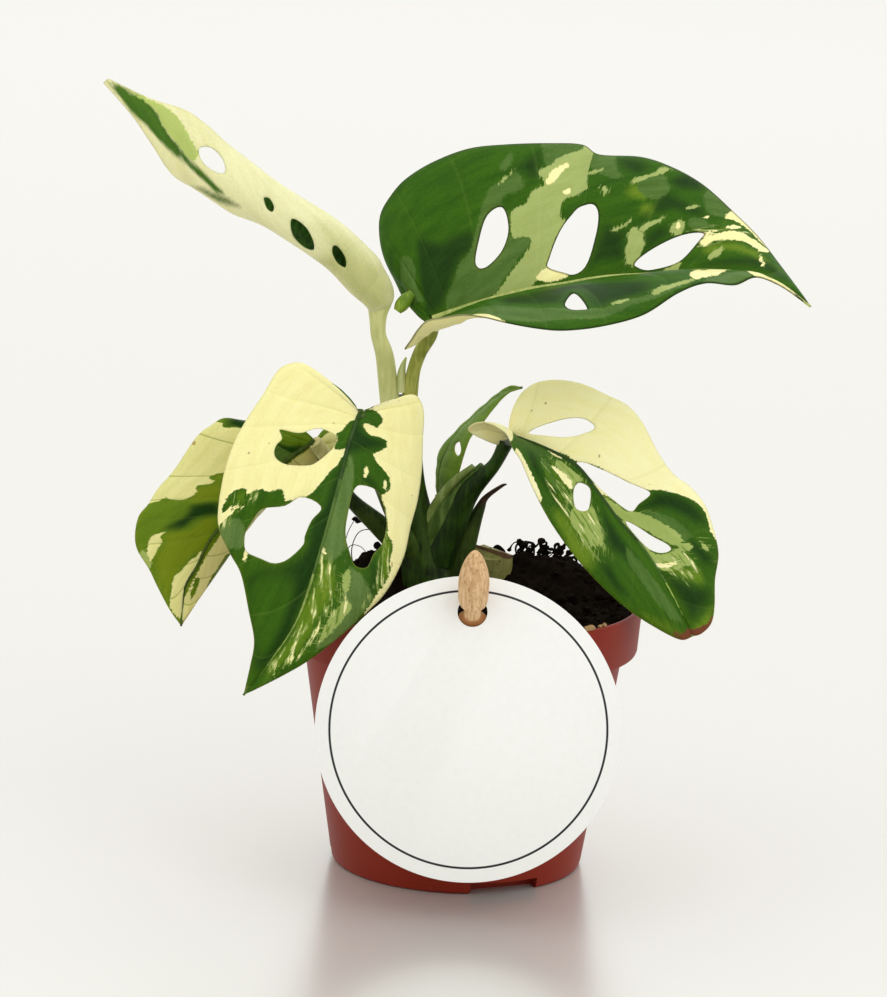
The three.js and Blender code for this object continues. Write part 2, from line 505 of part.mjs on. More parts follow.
const plant = new THREE.Group();
plant.add(piece('pot', potBody(), 0xa8432a, 0.5));
plant.add(piece('soil', largest(soil), 0x2a1c14, 1));
plant.add(piece('stem', stem(STEM), 0x4c6a2c, 0.5));
plant.add(piece('cutting_stub', stem(STUB), 0x6d6f35, 0.7));
plant.add(piece('cataphyll', largest(cataphyll), 0x46602a, 0.6));
for (const [name, body, beside, color] of leaves) {
  const cut = beside.reduce((left, rows) => left.subtract(stem(rows, CLEAR)), body);
  plant.add(piece(name, largest(cut), color, 0.45));
}
plant.add(piece('card', cardBody(), 0xf2f2ee, 0.6));
plant.add(piece('peg', pegBody(), 0xd9b183, 0.6));

export default plant;
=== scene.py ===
"""A young variegated monstera adansonii in a small plastic nursery pot, with a card pegged at its rim.

Metres, +Z up, the origin at the centre of the pot's underside, the card on the -Y side. Sizes are
written in millimetres and scaled by MM where the mesh is made.
"""

import math
import random

import bpy
import numpy as np
from mathutils import Matrix, Vector, noise
from mathutils.geometry import delaunay_2d_cdt
from mathutils.kdtree import KDTree


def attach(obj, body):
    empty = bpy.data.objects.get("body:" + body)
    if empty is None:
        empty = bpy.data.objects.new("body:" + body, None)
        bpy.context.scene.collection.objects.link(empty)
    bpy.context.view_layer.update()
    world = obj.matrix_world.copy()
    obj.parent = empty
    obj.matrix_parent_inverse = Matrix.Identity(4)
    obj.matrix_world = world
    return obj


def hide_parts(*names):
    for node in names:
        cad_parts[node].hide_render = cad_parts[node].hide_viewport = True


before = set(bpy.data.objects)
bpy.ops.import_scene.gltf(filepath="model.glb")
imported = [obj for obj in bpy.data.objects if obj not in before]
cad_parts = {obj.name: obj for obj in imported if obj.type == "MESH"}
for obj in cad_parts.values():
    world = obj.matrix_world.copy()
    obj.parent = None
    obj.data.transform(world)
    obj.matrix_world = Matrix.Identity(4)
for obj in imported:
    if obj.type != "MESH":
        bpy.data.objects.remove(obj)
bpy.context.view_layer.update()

# Pot
# A thin-walled nursery pot, moulded in one piece in red-brown plastic. The deep band under its
# rim stiffens it, and three notches round the bottom corner let water out.
MM = 0.001
POT_PROFILE = [
    (20.3, 0), (20.8, 0.12), (21.1, 0.4), (21.3, 1), (24, 18.5), (26.85, 37.3), (27.1, 37.55),
    (28.8, 37.55), (29.15, 37.7), (29.3, 38.1), (29.55, 41.5), (29.86, 45.1), (29.8, 45.5),
    (29.5, 45.7), (29.25, 45.7), (28.95, 45.55), (28.85, 45.1), (28.35, 39.2), (28.1, 38.75),
    (26.5, 38.5), (26, 38.1), (20.6, 2.1), (20.2, 1.5), (19.4, 1.3),
]
NOTCH_WIDTH, NOTCH_DEPTH, NOTCH_HEIGHT, NOTCH_INNER = 12, 6.2, 2, 17.6
NOTCH_AZIMUTHS = (23, 143, -97)


def only(*objects):
    """Selects these objects alone and makes the first one active."""
    bpy.ops.object.select_all(action="DESELECT")
    for each in objects:
        each.select_set(True)
    bpy.context.view_layer.objects.active = objects[0]
    return objects[0]


def turned(name, profile, sides):
    """A turned form, drawn out ring by ring along its profile of radius and height."""
    bpy.ops.object.select_all(action="DESELECT")
    radius, height = profile[0]
    bpy.ops.mesh.primitive_circle_add(
        vertices=sides, radius=radius * MM, fill_type="NOTHING", location=(0, 0, height * MM)
    )
    form = bpy.context.object
    form.name = form.data.name = name
    bpy.ops.object.transform_apply(location=True, rotation=True, scale=True)
    bpy.ops.object.mode_set(mode="EDIT")
    bpy.ops.mesh.select_all(action="SELECT")
    for wider, higher in profile[1:]:
        bpy.ops.mesh.extrude_edges_move(
            TRANSFORM_OT_translate={"value": (0, 0, (higher - height) * MM)}
        )
        share = wider / radius
        bpy.ops.transform.resize(value=(share, share, 1), center_override=(0, 0, higher * MM))
        radius, height = wider, higher
    bpy.ops.mesh.select_all(action="SELECT")
    bpy.ops.mesh.fill_holes(sides=0)
    bpy.ops.mesh.normals_make_consistent(inside=False)
    bpy.ops.object.mode_set(mode="OBJECT")
    return form


def cut_away(form, cutter):
    """Cuts one form out of another and removes the cutter."""
    only(form)
    cut = form.modifiers.new("cut", "BOOLEAN")
    cut.operation, cut.object, cut.solver = "DIFFERENCE", cutter, "EXACT"
    bpy.ops.object.modifier_apply(modifier=cut.name)
    bpy.data.objects.remove(cutter)


def soften(form, angle=35):
    only(form)
    bpy.ops.object.shade_smooth_by_angle(angle=math.radians(angle))


pot = turned("pot_shell", POT_PROFILE, 128)
for azimuth in NOTCH_AZIMUTHS:
    turn = math.radians(azimuth)
    reach = (NOTCH_INNER + NOTCH_DEPTH / 2) * MM
    middle = (math.sin(turn) * reach, -math.cos(turn) * reach, 0)
    bpy.ops.mesh.primitive_cube_add(size=1, location=middle)
    notch = bpy.context.object
    notch.rotation_euler.z = turn
    notch.scale = (NOTCH_WIDTH * MM, NOTCH_DEPTH * MM, 2 * NOTCH_HEIGHT * MM)
    bpy.ops.object.transform_apply(location=True, rotation=True, scale=True)
    cut_away(pot, notch)
soften(pot, 28)


class Value:
    """A shader socket that takes part in sums."""

    def __init__(self, finish, socket):
        self.finish, self.socket = finish, socket

    def sum(self, operation, *others):
        return self.finish.node("ShaderNodeMath", {"operation": operation}, *others)

    def __add__(self, other):
        return self.sum("ADD", self, other)

    def __sub__(self, other):
        return self.sum("SUBTRACT", self, other)

    def __mul__(self, other):
        return self.sum("MULTIPLY", self, other)

    def __rsub__(self, other):
        return self.sum("SUBTRACT", other, self)

    __radd__, __rmul__ = __add__, __mul__


class Finish:
    """A procedural material, built up by expressions on its sockets."""

    def __init__(self, name, **constants):
        self.material = bpy.data.materials.new(name)
        self.material.use_nodes = True
        self.tree = self.material.node_tree
        self.shader = self.tree.nodes["Principled BSDF"]
        for key, value in constants.items():
            self.shader.inputs[key.replace("_", " ")].default_value = value

    def node(self, kind, settings, *inputs, output=0):
        """Any node: its settings first, then its sockets in order, and None leaves one alone."""
        made = self.tree.nodes.new(kind)
        for key, value in settings.items():
            setattr(made, key, value)
        for socket, value in zip(made.inputs, inputs):
            if isinstance(value, Value):
                self.tree.links.new(value.socket, socket)
            elif value is not None:
                socket.default_value = value
        return Value(self, made.outputs[output])

    def place(self):
        return self.node("ShaderNodeTexCoord", {}, output=3)

    def scaled(self, vector, x, y, z):
        return self.node("ShaderNodeMapping", {}, vector, None, None, (x, y, z))

    def noise(self, vector, scale, detail=3, rough=0.5):
        return self.node("ShaderNodeTexNoise", {}, vector, None, scale, detail, rough)

    def step(self, value, low, high):
        """0 below low and 1 above high, with a soft change between them."""
        return self.node(
            "ShaderNodeMapRange", {"interpolation_type": "SMOOTHSTEP"}, value, low, high, 0.0, 1.0
        )

    def mix(self, share, first, second):
        return self.node(
            "ShaderNodeMix", {"data_type": "RGBA"}, share, None, None, None, None, None,
            first, second, output=2,
        )

    def number(self, name):
        return self.node("ShaderNodeAttribute", {"attribute_name": name}, output=2)

    def bump(self, height, strength, distance):
        return self.node("ShaderNodeBump", {}, strength, distance * MM, None, height)

    def feed(self, **links):
        for key, value in links.items():
            self.tree.links.new(value.socket, self.shader.inputs[key.replace("_", " ")])
        return self.material


def tone(red, green, blue):
    """A display colour of 0 to 255 as the linear colour that a shader takes."""
    parts = [c / 255 for c in (red, green, blue)]
    return (*(c / 12.92 if c <= 0.04045 else ((c + 0.055) / 1.055) ** 2.4 for c in parts), 1)


def dress(piece, *materials):
    piece.data.materials.clear()
    for each in materials:
        piece.data.materials.append(each)


def settle(piece, slot, *nodes):
    """Puts a finished piece on the pot's body in place of its plain solids."""
    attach(piece, "root")
    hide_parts(*nodes)


plastic = Finish("red_brown_plastic", Specular_IOR_Level=0.18)
at = plastic.place()
cloud = plastic.noise(at, 60, 4, 0.6)
streak = plastic.noise(plastic.scaled(at, 900, 900, 60), 1, 2, 0.5)
body_red = plastic.mix(cloud, tone(118, 30, 12), tone(142, 42, 20))
scuff = plastic.step(plastic.noise(plastic.scaled(at, 1, 1, 4), 400, 5, 0.7), 0.66, 0.8)
body_red = plastic.mix(scuff * 0.35, body_red, tone(168, 92, 74))
pot_finish = plastic.feed(
    Base_Color=body_red,
    Roughness=0.42 + cloud * 0.14 + scuff * 0.2,
    Normal=plastic.bump(streak * 0.5 + cloud, 0.25, 0.05),
)
dress(pot, pot_finish)
settle(pot, "pot_plastic", "pot")

# Soil
# Dark, dry peat fills the pot to just under its rim and stands higher behind the stems. Its top is
# crumbs and clods with a few fine roots, pressed loosely by hand.
SOIL_FRONT, SOIL_RISE, SOIL_RADIUS = 43.3, 4.6, 28
SOIL_SIDE = ((28, 40), (25.6, 38.3), (20, 1.6))
SOIL_CELLS, CRUMB_SIZES, CRUMB_COUNT, CRUMB_REACH = 190, (0.5, 0.75, 1.1), 420, 27.2
TANGLE_COUNT, TANGLE_FOOT, TANGLE_TOP = 22, 47.4, 52.4
GRIT_COUNT, GRIT_RADIUS, GRIT_HEIGHT = 11, 29.1, 45.85
CLODS = [
    (-16, 14, 5, 3.2), (-9, 21, 5, 1.6), (12, 19, 6, 1.8), (18, 12, 4, 1.4), (3, 22, 4, 0.8),
    (5, -15, 5, 0.8), (-14, -9, 6, 0.9), (18, -8, 5, 0.9), (-4, -20, 4, -0.6), (10, -2, 4, 0.7),
    (20, 19, 5, 4.6), (25, 12, 4.5, 3.4), (-19.5, 13, 1.6, 1.5),
]


def smooth(value, low, high):
    t = min(max((value - low) / (high - low), 0), 1)
    return t * t * (3 - 2 * t)


def soil_height(x, y):
    radius = math.hypot(x, y)
    crown = 1 - 0.6 * smooth(radius, 19, SOIL_RADIUS)
    height = SOIL_FRONT + SOIL_RISE * smooth(y, 0, 19) * crown
    for cx, cy, wide, high in CLODS:
        height += high * crown * math.exp(-((x - cx) ** 2 + (y - cy) ** 2) / wide**2)
    rough = noise.fractal(Vector((x, y, 0)) * 0.45, 0.9, 2.1, 5) * 0.9
    rough += noise.noise(Vector((x, y, 5)) * 1.7) * 0.35
    return height + rough * (1 - 0.5 * smooth(radius, 25, SOIL_RADIUS))


bpy.ops.object.select_all(action="DESELECT")
bpy.ops.mesh.primitive_grid_add(x_subdivisions=SOIL_CELLS, y_subdivisions=SOIL_CELLS, size=2)
soil = bpy.context.object
soil.name = soil.data.name = "peat_fill"
for vertex in soil.data.vertices:
    u, v = vertex.co.x, vertex.co.y
    x = SOIL_RADIUS * u * math.sqrt(1 - v * v / 2)
    y = SOIL_RADIUS * v * math.sqrt(1 - u * u / 2)
    vertex.co = Vector((x, y, soil_height(x, y))) * MM
bpy.ops.object.mode_set(mode="EDIT")
bpy.ops.mesh.select_mode(type="EDGE")
bpy.ops.mesh.select_all(action="DESELECT")
bpy.ops.mesh.select_non_manifold()
for radius, height in SOIL_SIDE:
    bpy.ops.mesh.extrude_edges_move()
    bpy.ops.object.mode_set(mode="OBJECT")
    for vertex in soil.data.vertices:
        if vertex.select:
            flat = Vector((vertex.co.x, vertex.co.y)).normalized() * radius
            vertex.co = Vector((flat.x, flat.y, height)) * MM
    bpy.ops.object.mode_set(mode="EDIT")
bpy.ops.mesh.select_all(action="SELECT")
bpy.ops.mesh.fill_holes(sides=0)
bpy.ops.mesh.normals_make_consistent(inside=False)
bpy.ops.mesh.select_mode(type="VERT")
bpy.ops.object.mode_set(mode="OBJECT")
bpy.ops.object.shade_smooth()

chance = random.Random(7)


def crumb(name, size):
    """A knobbly crumb of peat, with few faces because there are hundreds."""
    bpy.ops.mesh.primitive_ico_sphere_add(subdivisions=2, radius=size * MM)
    bit = bpy.context.object
    bit.name = name
    for vertex in bit.data.vertices:
        vertex.co *= 1 + 0.45 * noise.noise(vertex.co * 900 / size + Vector((size * 7, 3, 1)))
    return bit


def copied(mould):
    bit = mould.copy()
    bit.data = mould.data.copy()
    bpy.context.collection.objects.link(bit)
    return bit


crumbs = []
moulds = [crumb(f"crumb_{i}", size) for i, size in enumerate(CRUMB_SIZES)]
for i in range(CRUMB_COUNT):
    angle, radius = chance.uniform(0, math.tau), CRUMB_REACH * math.sqrt(chance.random())
    x, y = radius * math.sin(angle), radius * math.cos(angle)
    bit = copied(moulds[0 if i % 3 else 1 + i % 2])
    bit.scale = (chance.uniform(0.6, 1.2), chance.uniform(0.6, 1.2), chance.uniform(0.4, 0.9))
    bit.rotation_euler = [chance.uniform(0, math.tau) for _ in range(3)]
    bit.location = Vector((x, y, soil_height(x, y) + chance.uniform(-0.1, 0.35))) * MM
    crumbs.append(bit)

# A tangle of black fibre stands up at the back beside the cutting, with crumbs that cling to it
TANGLE = []
for i in range(TANGLE_COUNT):
    x, y = chance.uniform(8, 18), 20 + chance.uniform(-1, 1)
    tall = TANGLE_TOP - TANGLE_FOOT - 0.3 * abs(x - 11) - chance.uniform(0, 2.4)
    rows = []
    for share in (0, 0.3, 0.7, 1, 0.95, 0.6):
        z = TANGLE_FOOT + tall * share + chance.uniform(-0.4, 0.4)
        rows.append((x, y, z, chance.uniform(0.09, 0.3)))
        x += chance.uniform(-1.1, 1.2)
        y += chance.uniform(-0.3, 0.3)
    TANGLE.append(rows)
KNOTS = [chance.choice(rows[1:])[:3] for rows in TANGLE * 2]
KNOTS += [(-19.2, 13, 55.5), (-18.6, 13, 55.3)]
# Pale grit lies on the rim in front, to the right
for i in range(GRIT_COUNT):
    turn = math.radians(chance.uniform(40, 55))
    KNOTS.append((GRIT_RADIUS * math.sin(turn), -GRIT_RADIUS * math.cos(turn), GRIT_HEIGHT))
for i, knot in enumerate(KNOTS):
    bit = copied(moulds[i % 2])
    bit.scale = (chance.uniform(0.6, 1.1), chance.uniform(0.6, 1.1), chance.uniform(0.4, 0.8))
    bit.location = Vector(knot) * MM
    crumbs.append(bit)
for mould in moulds:
    bpy.data.objects.remove(mould)


def strand(name, rows, resolution):
    """A round strand along points x, y, z with a radius each, as a mesh."""
    bpy.ops.object.select_all(action="DESELECT")
    bpy.ops.curve.primitive_nurbs_path_add(location=(0, 0, 0))
    line = bpy.context.object
    line.name = line.data.name = name
    line.data.splines.clear()
    spline = line.data.splines.new("POLY")
    spline.points.add(len(rows) - 1)
    for point, (x, y, z, radius) in zip(spline.points, rows):
        point.co = (x * MM, y * MM, z * MM, 1)
        point.radius = radius
    line.data.dimensions = "3D"
    line.data.bevel_depth = MM
    line.data.bevel_resolution = resolution
    line.data.use_fill_caps = True
    bpy.ops.object.convert(target="MESH")
    line = bpy.context.object
    only(line)
    bpy.ops.object.shade_smooth()
    return line


def along(rows, share):
    """The smooth curve through rows of numbers, at shares of the way along it."""
    rows = np.asarray(rows, float)
    last = len(rows) - 1
    ends = np.vstack([2 * rows[0] - rows[1], rows, 2 * rows[-1] - rows[-2]])
    way = np.clip(np.asarray(share, float), 0, 1) * last
    i = np.minimum(way.astype(int), last - 1)
    f = (way - i)[..., None]
    a, b, c, d = ends[i], ends[i + 1], ends[i + 2], ends[i + 3]
    bend = (2 * a - 5 * b + 4 * c - d) * f**2 + (3 * b - a - 3 * c + d) * f**3
    return b + 0.5 * ((c - a) * f + bend)


# Fine dry roots that stick out of the peat behind the front leaf and at the back
ROOTS = TANGLE + [
    [(-19, 13, 46, 0.1), (-19.6, 13, 50, 0.09), (-18.6, 13, 53, 0.08), (-16.6, 13.5, 53.6, 0.08),
     (-14.5, 14, 52.6, 0.07)],
    [(-20, 12, 46, 0.08), (-20.8, 12, 50, 0.07), (-20.4, 12, 53, 0.07), (-19.2, 13, 55.5, 0.06)],
    [(-21, 14, 47, 0.07), (-20, 13.5, 50.5, 0.07), (-18, 13, 50.6, 0.06), (-16.5, 12, 49, 0.06)],
    [(9, -12, 43, 0.1), (12, -13, 45, 0.09), (15, -11, 45, 0.08), (17, -8, 43.5, 0.07)],
]
steps = np.linspace(0, 1, 24)
roots = [strand(f"root_{i}", along(rows, steps), 2) for i, rows in enumerate(ROOTS)]
only(soil, *crumbs, *roots)
bpy.ops.object.join()
bpy.ops.object.transform_apply(location=True, rotation=True, scale=True)

peat = Finish("dark_peat", Roughness=1.0, Specular_IOR_Level=0.05)
at = peat.place()
grain = peat.noise(at, 1500, 5, 0.7)
clump = peat.noise(at, 300, 4, 0.6)
peat_brown = peat.mix(clump, tone(7, 5, 3), tone(30, 22, 15))
peat_brown = peat.mix(peat.step(grain, 0.62, 0.75) * 0.5, peat_brown, tone(70, 52, 36))
flat_place = peat.scaled(at, 1, 1, 0)
from_axis = peat.node("ShaderNodeVectorMath", {"operation": "LENGTH"}, flat_place, output=1)
on_rim = peat.step(from_axis, (SOIL_RADIUS + 0.3) * MM, (SOIL_RADIUS + 0.5) * MM)
peat_brown = peat.mix(on_rim, peat_brown, tone(168, 138, 96))
peat_finish = peat.feed(Base_Color=peat_brown, Normal=peat.bump(grain + clump, 0.8, 0.35))
dress(soil, peat_finish)
settle(soil, "peat", "soil")

# Stem, cutting stub and dry sheath
# The young shoot's green stem rises from the side of the old cutting, whose cut top has dried to
# a ragged brown. A first scale leaf beside it has withered at its tip.
STEM = [
    (-12.2, 7.4, 78.2, 0.8), (-11.7, 7.6, 75.5, 2.4), (-11, 8, 70.5, 2.6), (-10, 8.5, 62, 2.8),
    (-8, 9, 53, 3.6), (-6, 9, 44.5, 4.6), (-5.5, 9, 34, 4),
]
STUB = [(4.6, 14.5, 38, 3.4), (4.6, 14.3, 44, 3.5), (4.5, 14, 49.9, 3.5)]
SHEATH = [
    (-1.5, 9.5, 43, 2.3), (-1.5, 9.5, 45, 2.4), (-1, 9.5, 49.5, 2.2), (0.5, 9, 55, 1.6),
    (2, 8.5, 59, 0.9), (3, 8.5, 61, 0.5), (5.5, 8.5, 63, 0.3), (6.4, 8.4, 63.4, 0.12),
]
STUB_TOP, CUT_SLOPE = 49.8, 0.26
stem = strand("young_stem", along(STEM, np.linspace(0, 1, 60)), 6)
stub = strand("old_cutting", along(STUB, np.linspace(0, 1, 30)), 9)
for vertex in stub.data.vertices:
    x, y, z = vertex.co / MM
    if z > STUB_TOP:
        ragged = noise.noise(Vector((x * 0.9, y * 0.9, 2))) * 0.24
        ragged += noise.noise(Vector((x * 3, y * 3, 9))) * 0.3
        vertex.co.z += (0.9 - CUT_SLOPE * (x - 4.5) - 0.24 * (y - 14) + ragged) * MM
soften(stub, 40)
sheath = strand("withered_sheath", along(SHEATH, np.linspace(0, 1, 60)), 6)


def stem_finish(name, light, deep, flecks=0.3, dry=None):
    """Smooth green bark with dark dots. Dry says from what height to what height it turns brown,
    the brown, and how far that line climbs with each millimetre of x."""
    bark = Finish(name, Roughness=0.5, Specular_IOR_Level=0.15)
    at = bark.place()
    fibre = bark.noise(bark.scaled(at, 1200, 1200, 120), 1, 3, 0.6)
    cloud = bark.noise(at, 180, 3, 0.6)
    green = bark.mix(bark.step(cloud * 0.6 + fibre * 0.4, 0.35, 0.65), tone(*deep), tone(*light))
    spot = bark.step(bark.noise(at, 900, 2, 0.5), 0.66, 0.72)
    green = bark.mix(spot * flecks, green, tone(40, 44, 20))
    if dry:
        low, high, brown, slope = dry
        x, _, z = (bark.node("ShaderNodeSeparateXYZ", {}, at, output=i) for i in range(3))
        up = z - x * slope + (cloud - 0.5) * MM
        start, end = ((level - 4.5 * slope) * MM for level in (low, high))
        green = bark.mix(bark.step(up, start, end), green, tone(*brown))
    return bark.feed(Base_Color=green, Normal=bark.bump(fibre, 0.35, 0.12))


dress(stem, stem_finish("green_stem", (56, 84, 20), (18, 32, 8)))
dry_cut = (50.4, 50.6, (104, 78, 52), -CUT_SLOPE)
dress(stub, stem_finish("olive_old_stem", (158, 156, 94), (124, 126, 70), 0.8, dry_cut))
dry_tip = (58.6, 60.6, (70, 48, 34), 0)
dress(sheath, stem_finish("green_sheath", (70, 92, 30), (34, 52, 16), 0.3, dry_tip))
settle(stem, "green_stem", "stem")
settle(stub, "old_stem", "cutting_stub")
settle(sheath, "dry_sheath", "cataphyll")

# Flat leaves
# Each leaf grew as one piece: a petiole, a knuckle, and a thin blade whose halves fold a little
# along the midrib. The holes opened as the blade grew, and the cream patches have no chlorophyll.
# Numbers on each vertex carry the patches, veins and edge to the shader.
# A few patches on the upper and front leaves are painted shade and painted sheen.
BLADE = 0.42
FACET = 0.45
LAYERS = ("olive", "deep", "grey", "pale", "cream", "brown", "marble")
PHOTO_WIDTH, PHOTO_HEIGHT, FOCAL_PIXELS = 887, 997, 3910
CAMERA_AT, CAMERA_DOWN, CAMERA_ROLL = (-4.2, -640, 196), 11.8, 2.03


class HalfBlade:
    """One half of a flat leaf. Left and right are seen from the joint towards the tip, from above.

    A margin runs from the notch at the joint, round the basal lobe, to the tip: x, y, z, the share
    of the midrib at which its side vein starts and, where the blade is cupped, its bulge. A place
    on the blade is a share along the margin and a share of the way out from the midrib to it.
    """

    across, overlap = (0, 1), 0

    def __init__(self, midrib, margin, hand, bulge=0.08):
        self.midrib, self.hand = midrib, hand
        self.margin = np.array([[*row, bulge] if len(row) == 4 else row for row in margin], float)
        share = np.linspace(0, 1, 401)
        rows = along(self.margin, share)
        self.lobe = share[np.argmax(rows[:, 3] >= 0.03)]
        self.length = np.linalg.norm(np.diff(rows[:, :3], axis=0), axis=1).sum()

    def rib(self, share):
        return along(self.midrib, np.clip(share, 0, 1))

    def reach(self, w):
        edge = along(self.margin, w)
        return np.linalg.norm(edge[:, :3] - self.rib(edge[:, 3]), axis=1)

    def low(self, w):
        return np.zeros_like(w)

    high = reach

    def place(self, w, v):
        """Points in millimetres on the blade's middle surface, and the directions of its upper face."""
        edge = along(self.margin, w)
        start = self.rib(edge[:, 3])
        vein = edge[:, :3] - start
        first = along(self.margin, np.clip(w, self.lobe, 0.985))
        ahead = self.rib(first[:, 3] + 0.01) - self.rib(first[:, 3] - 0.01)
        up = np.cross(ahead, first[:, :3] - self.rib(first[:, 3])) * self.hand
        span = np.maximum(np.linalg.norm(vein, axis=1), 1e-6)[:, None]
        aim = vein / span
        up -= aim * np.sum(up * aim, axis=1)[:, None]
        up /= np.linalg.norm(up, axis=1)[:, None]
        v = v[:, None]
        return start + vein * v + up * edge[:, 4:5] * span * 4 * v * (1 - v), up

    def flat(self, w, v):
        """The place on a flat plan of the blade, in millimetres."""
        return np.stack([w * self.length, v * self.reach(w)], axis=1)

    def shares(self, plan):
        w = np.clip(plan[:, 0] / self.length, 0, 1)
        return w, plan[:, 1] / np.maximum(self.reach(w), 1e-6)


def closed_ring(outline, count):
    """A smooth closed line through an outline's points."""
    points = np.array(outline, float)
    around = np.vstack([points[-2:], points, points[:3]])
    way = np.arange(count) / count * len(points)
    i = way.astype(int)
    f = (way - i)[:, None]
    a, b, c, d = around[i + 1], around[i + 2], around[i + 3], around[i + 4]
    bend = (2 * a - 5 * b + 4 * c - d) * f**2 + (3 * b - a - 3 * c + d) * f**3
    return b + 0.5 * ((c - a) * f + bend)


def inside(points, ring):
    """Which points of a plan lie within a closed ring."""
    x, y = points[:, 0], points[:, 1]
    found = np.zeros(len(points), bool)
    for (x0, y0), (x1, y1) in zip(ring, np.roll(ring, -1, axis=0)):
        if y0 != y1:
            crossing = (y0 > y) != (y1 > y)
            found ^= crossing & (x < (x1 - x0) * (y - y0) / (y1 - y0) + x0)
    return found


def depth(points, ring):
    """How deep points lie within a closed ring, in millimetres, below 0 outside it."""
    best = np.full(len(points), 1e9)
    for start, end in zip(ring, np.roll(ring, -1, axis=0)):
        side = end - start
        share = np.clip((points - start) @ side / max(side @ side, 1e-12), 0, 1)
        best = np.minimum(best, np.linalg.norm(points - start - share[:, None] * side, axis=1))
    return np.where(inside(points, ring), best, -best)


looking = Matrix.Rotation(math.radians(90 - CAMERA_DOWN), 4, "X")
looking @= Matrix.Rotation(math.radians(CAMERA_ROLL), 4, "Z")


def in_photo(spots):
    """Where points in millimetres stand in the photograph, in its pixels."""
    right, up, back = ((spots - CAMERA_AT) @ np.array(looking.to_3x3())).T
    across = PHOTO_WIDTH / 2 - FOCAL_PIXELS * right / back
    return np.stack([across, PHOTO_HEIGHT / 2 + FOCAL_PIXELS * up / back], axis=1)


def marks_on(blade, marks):
    """Marks that were outlined in the photograph's pixels, as outlines on the blade.

    A point takes the place on the blade that it covers, the front one where the blade overlaps
    itself, and a mark that reaches the border is drawn on a little past it.
    """
    low, high = blade.across
    grid = np.meshgrid(np.linspace(0, 1, 401), np.linspace(low, high, 160 * (high - low)))
    w, v = (each.ravel() for each in grid)
    spots, _ = blade.place(w, v)
    tree = KDTree(len(w))
    for i, (x, y) in enumerate(in_photo(spots)):
        tree.insert((x, y, 0), i)
    tree.balance()
    found = []
    for layer, outline in marks:
        ring = []
        for x, y in outline:
            _, nearest, off = tree.find((x, y, 0))
            near = tree.find_range((x, y, 0), off + blade.overlap)
            front = min([nearest] + [hit[1] for hit in near], key=lambda i: spots[i, 1])
            ring.append((w[front], v[front]))
        ring = np.array(ring)
        ring[:, 0] = np.select([ring[:, 0] < 0.004, ring[:, 0] > 0.996], [-0.02, 1.02], ring[:, 0])
        ends = [ring[:, 1] < low + 0.02, ring[:, 1] > high - 0.02]
        ring[:, 1] = np.select(ends, [low - 0.08, high + 0.08], ring[:, 1])
        found.append((layer, ring))
    return found


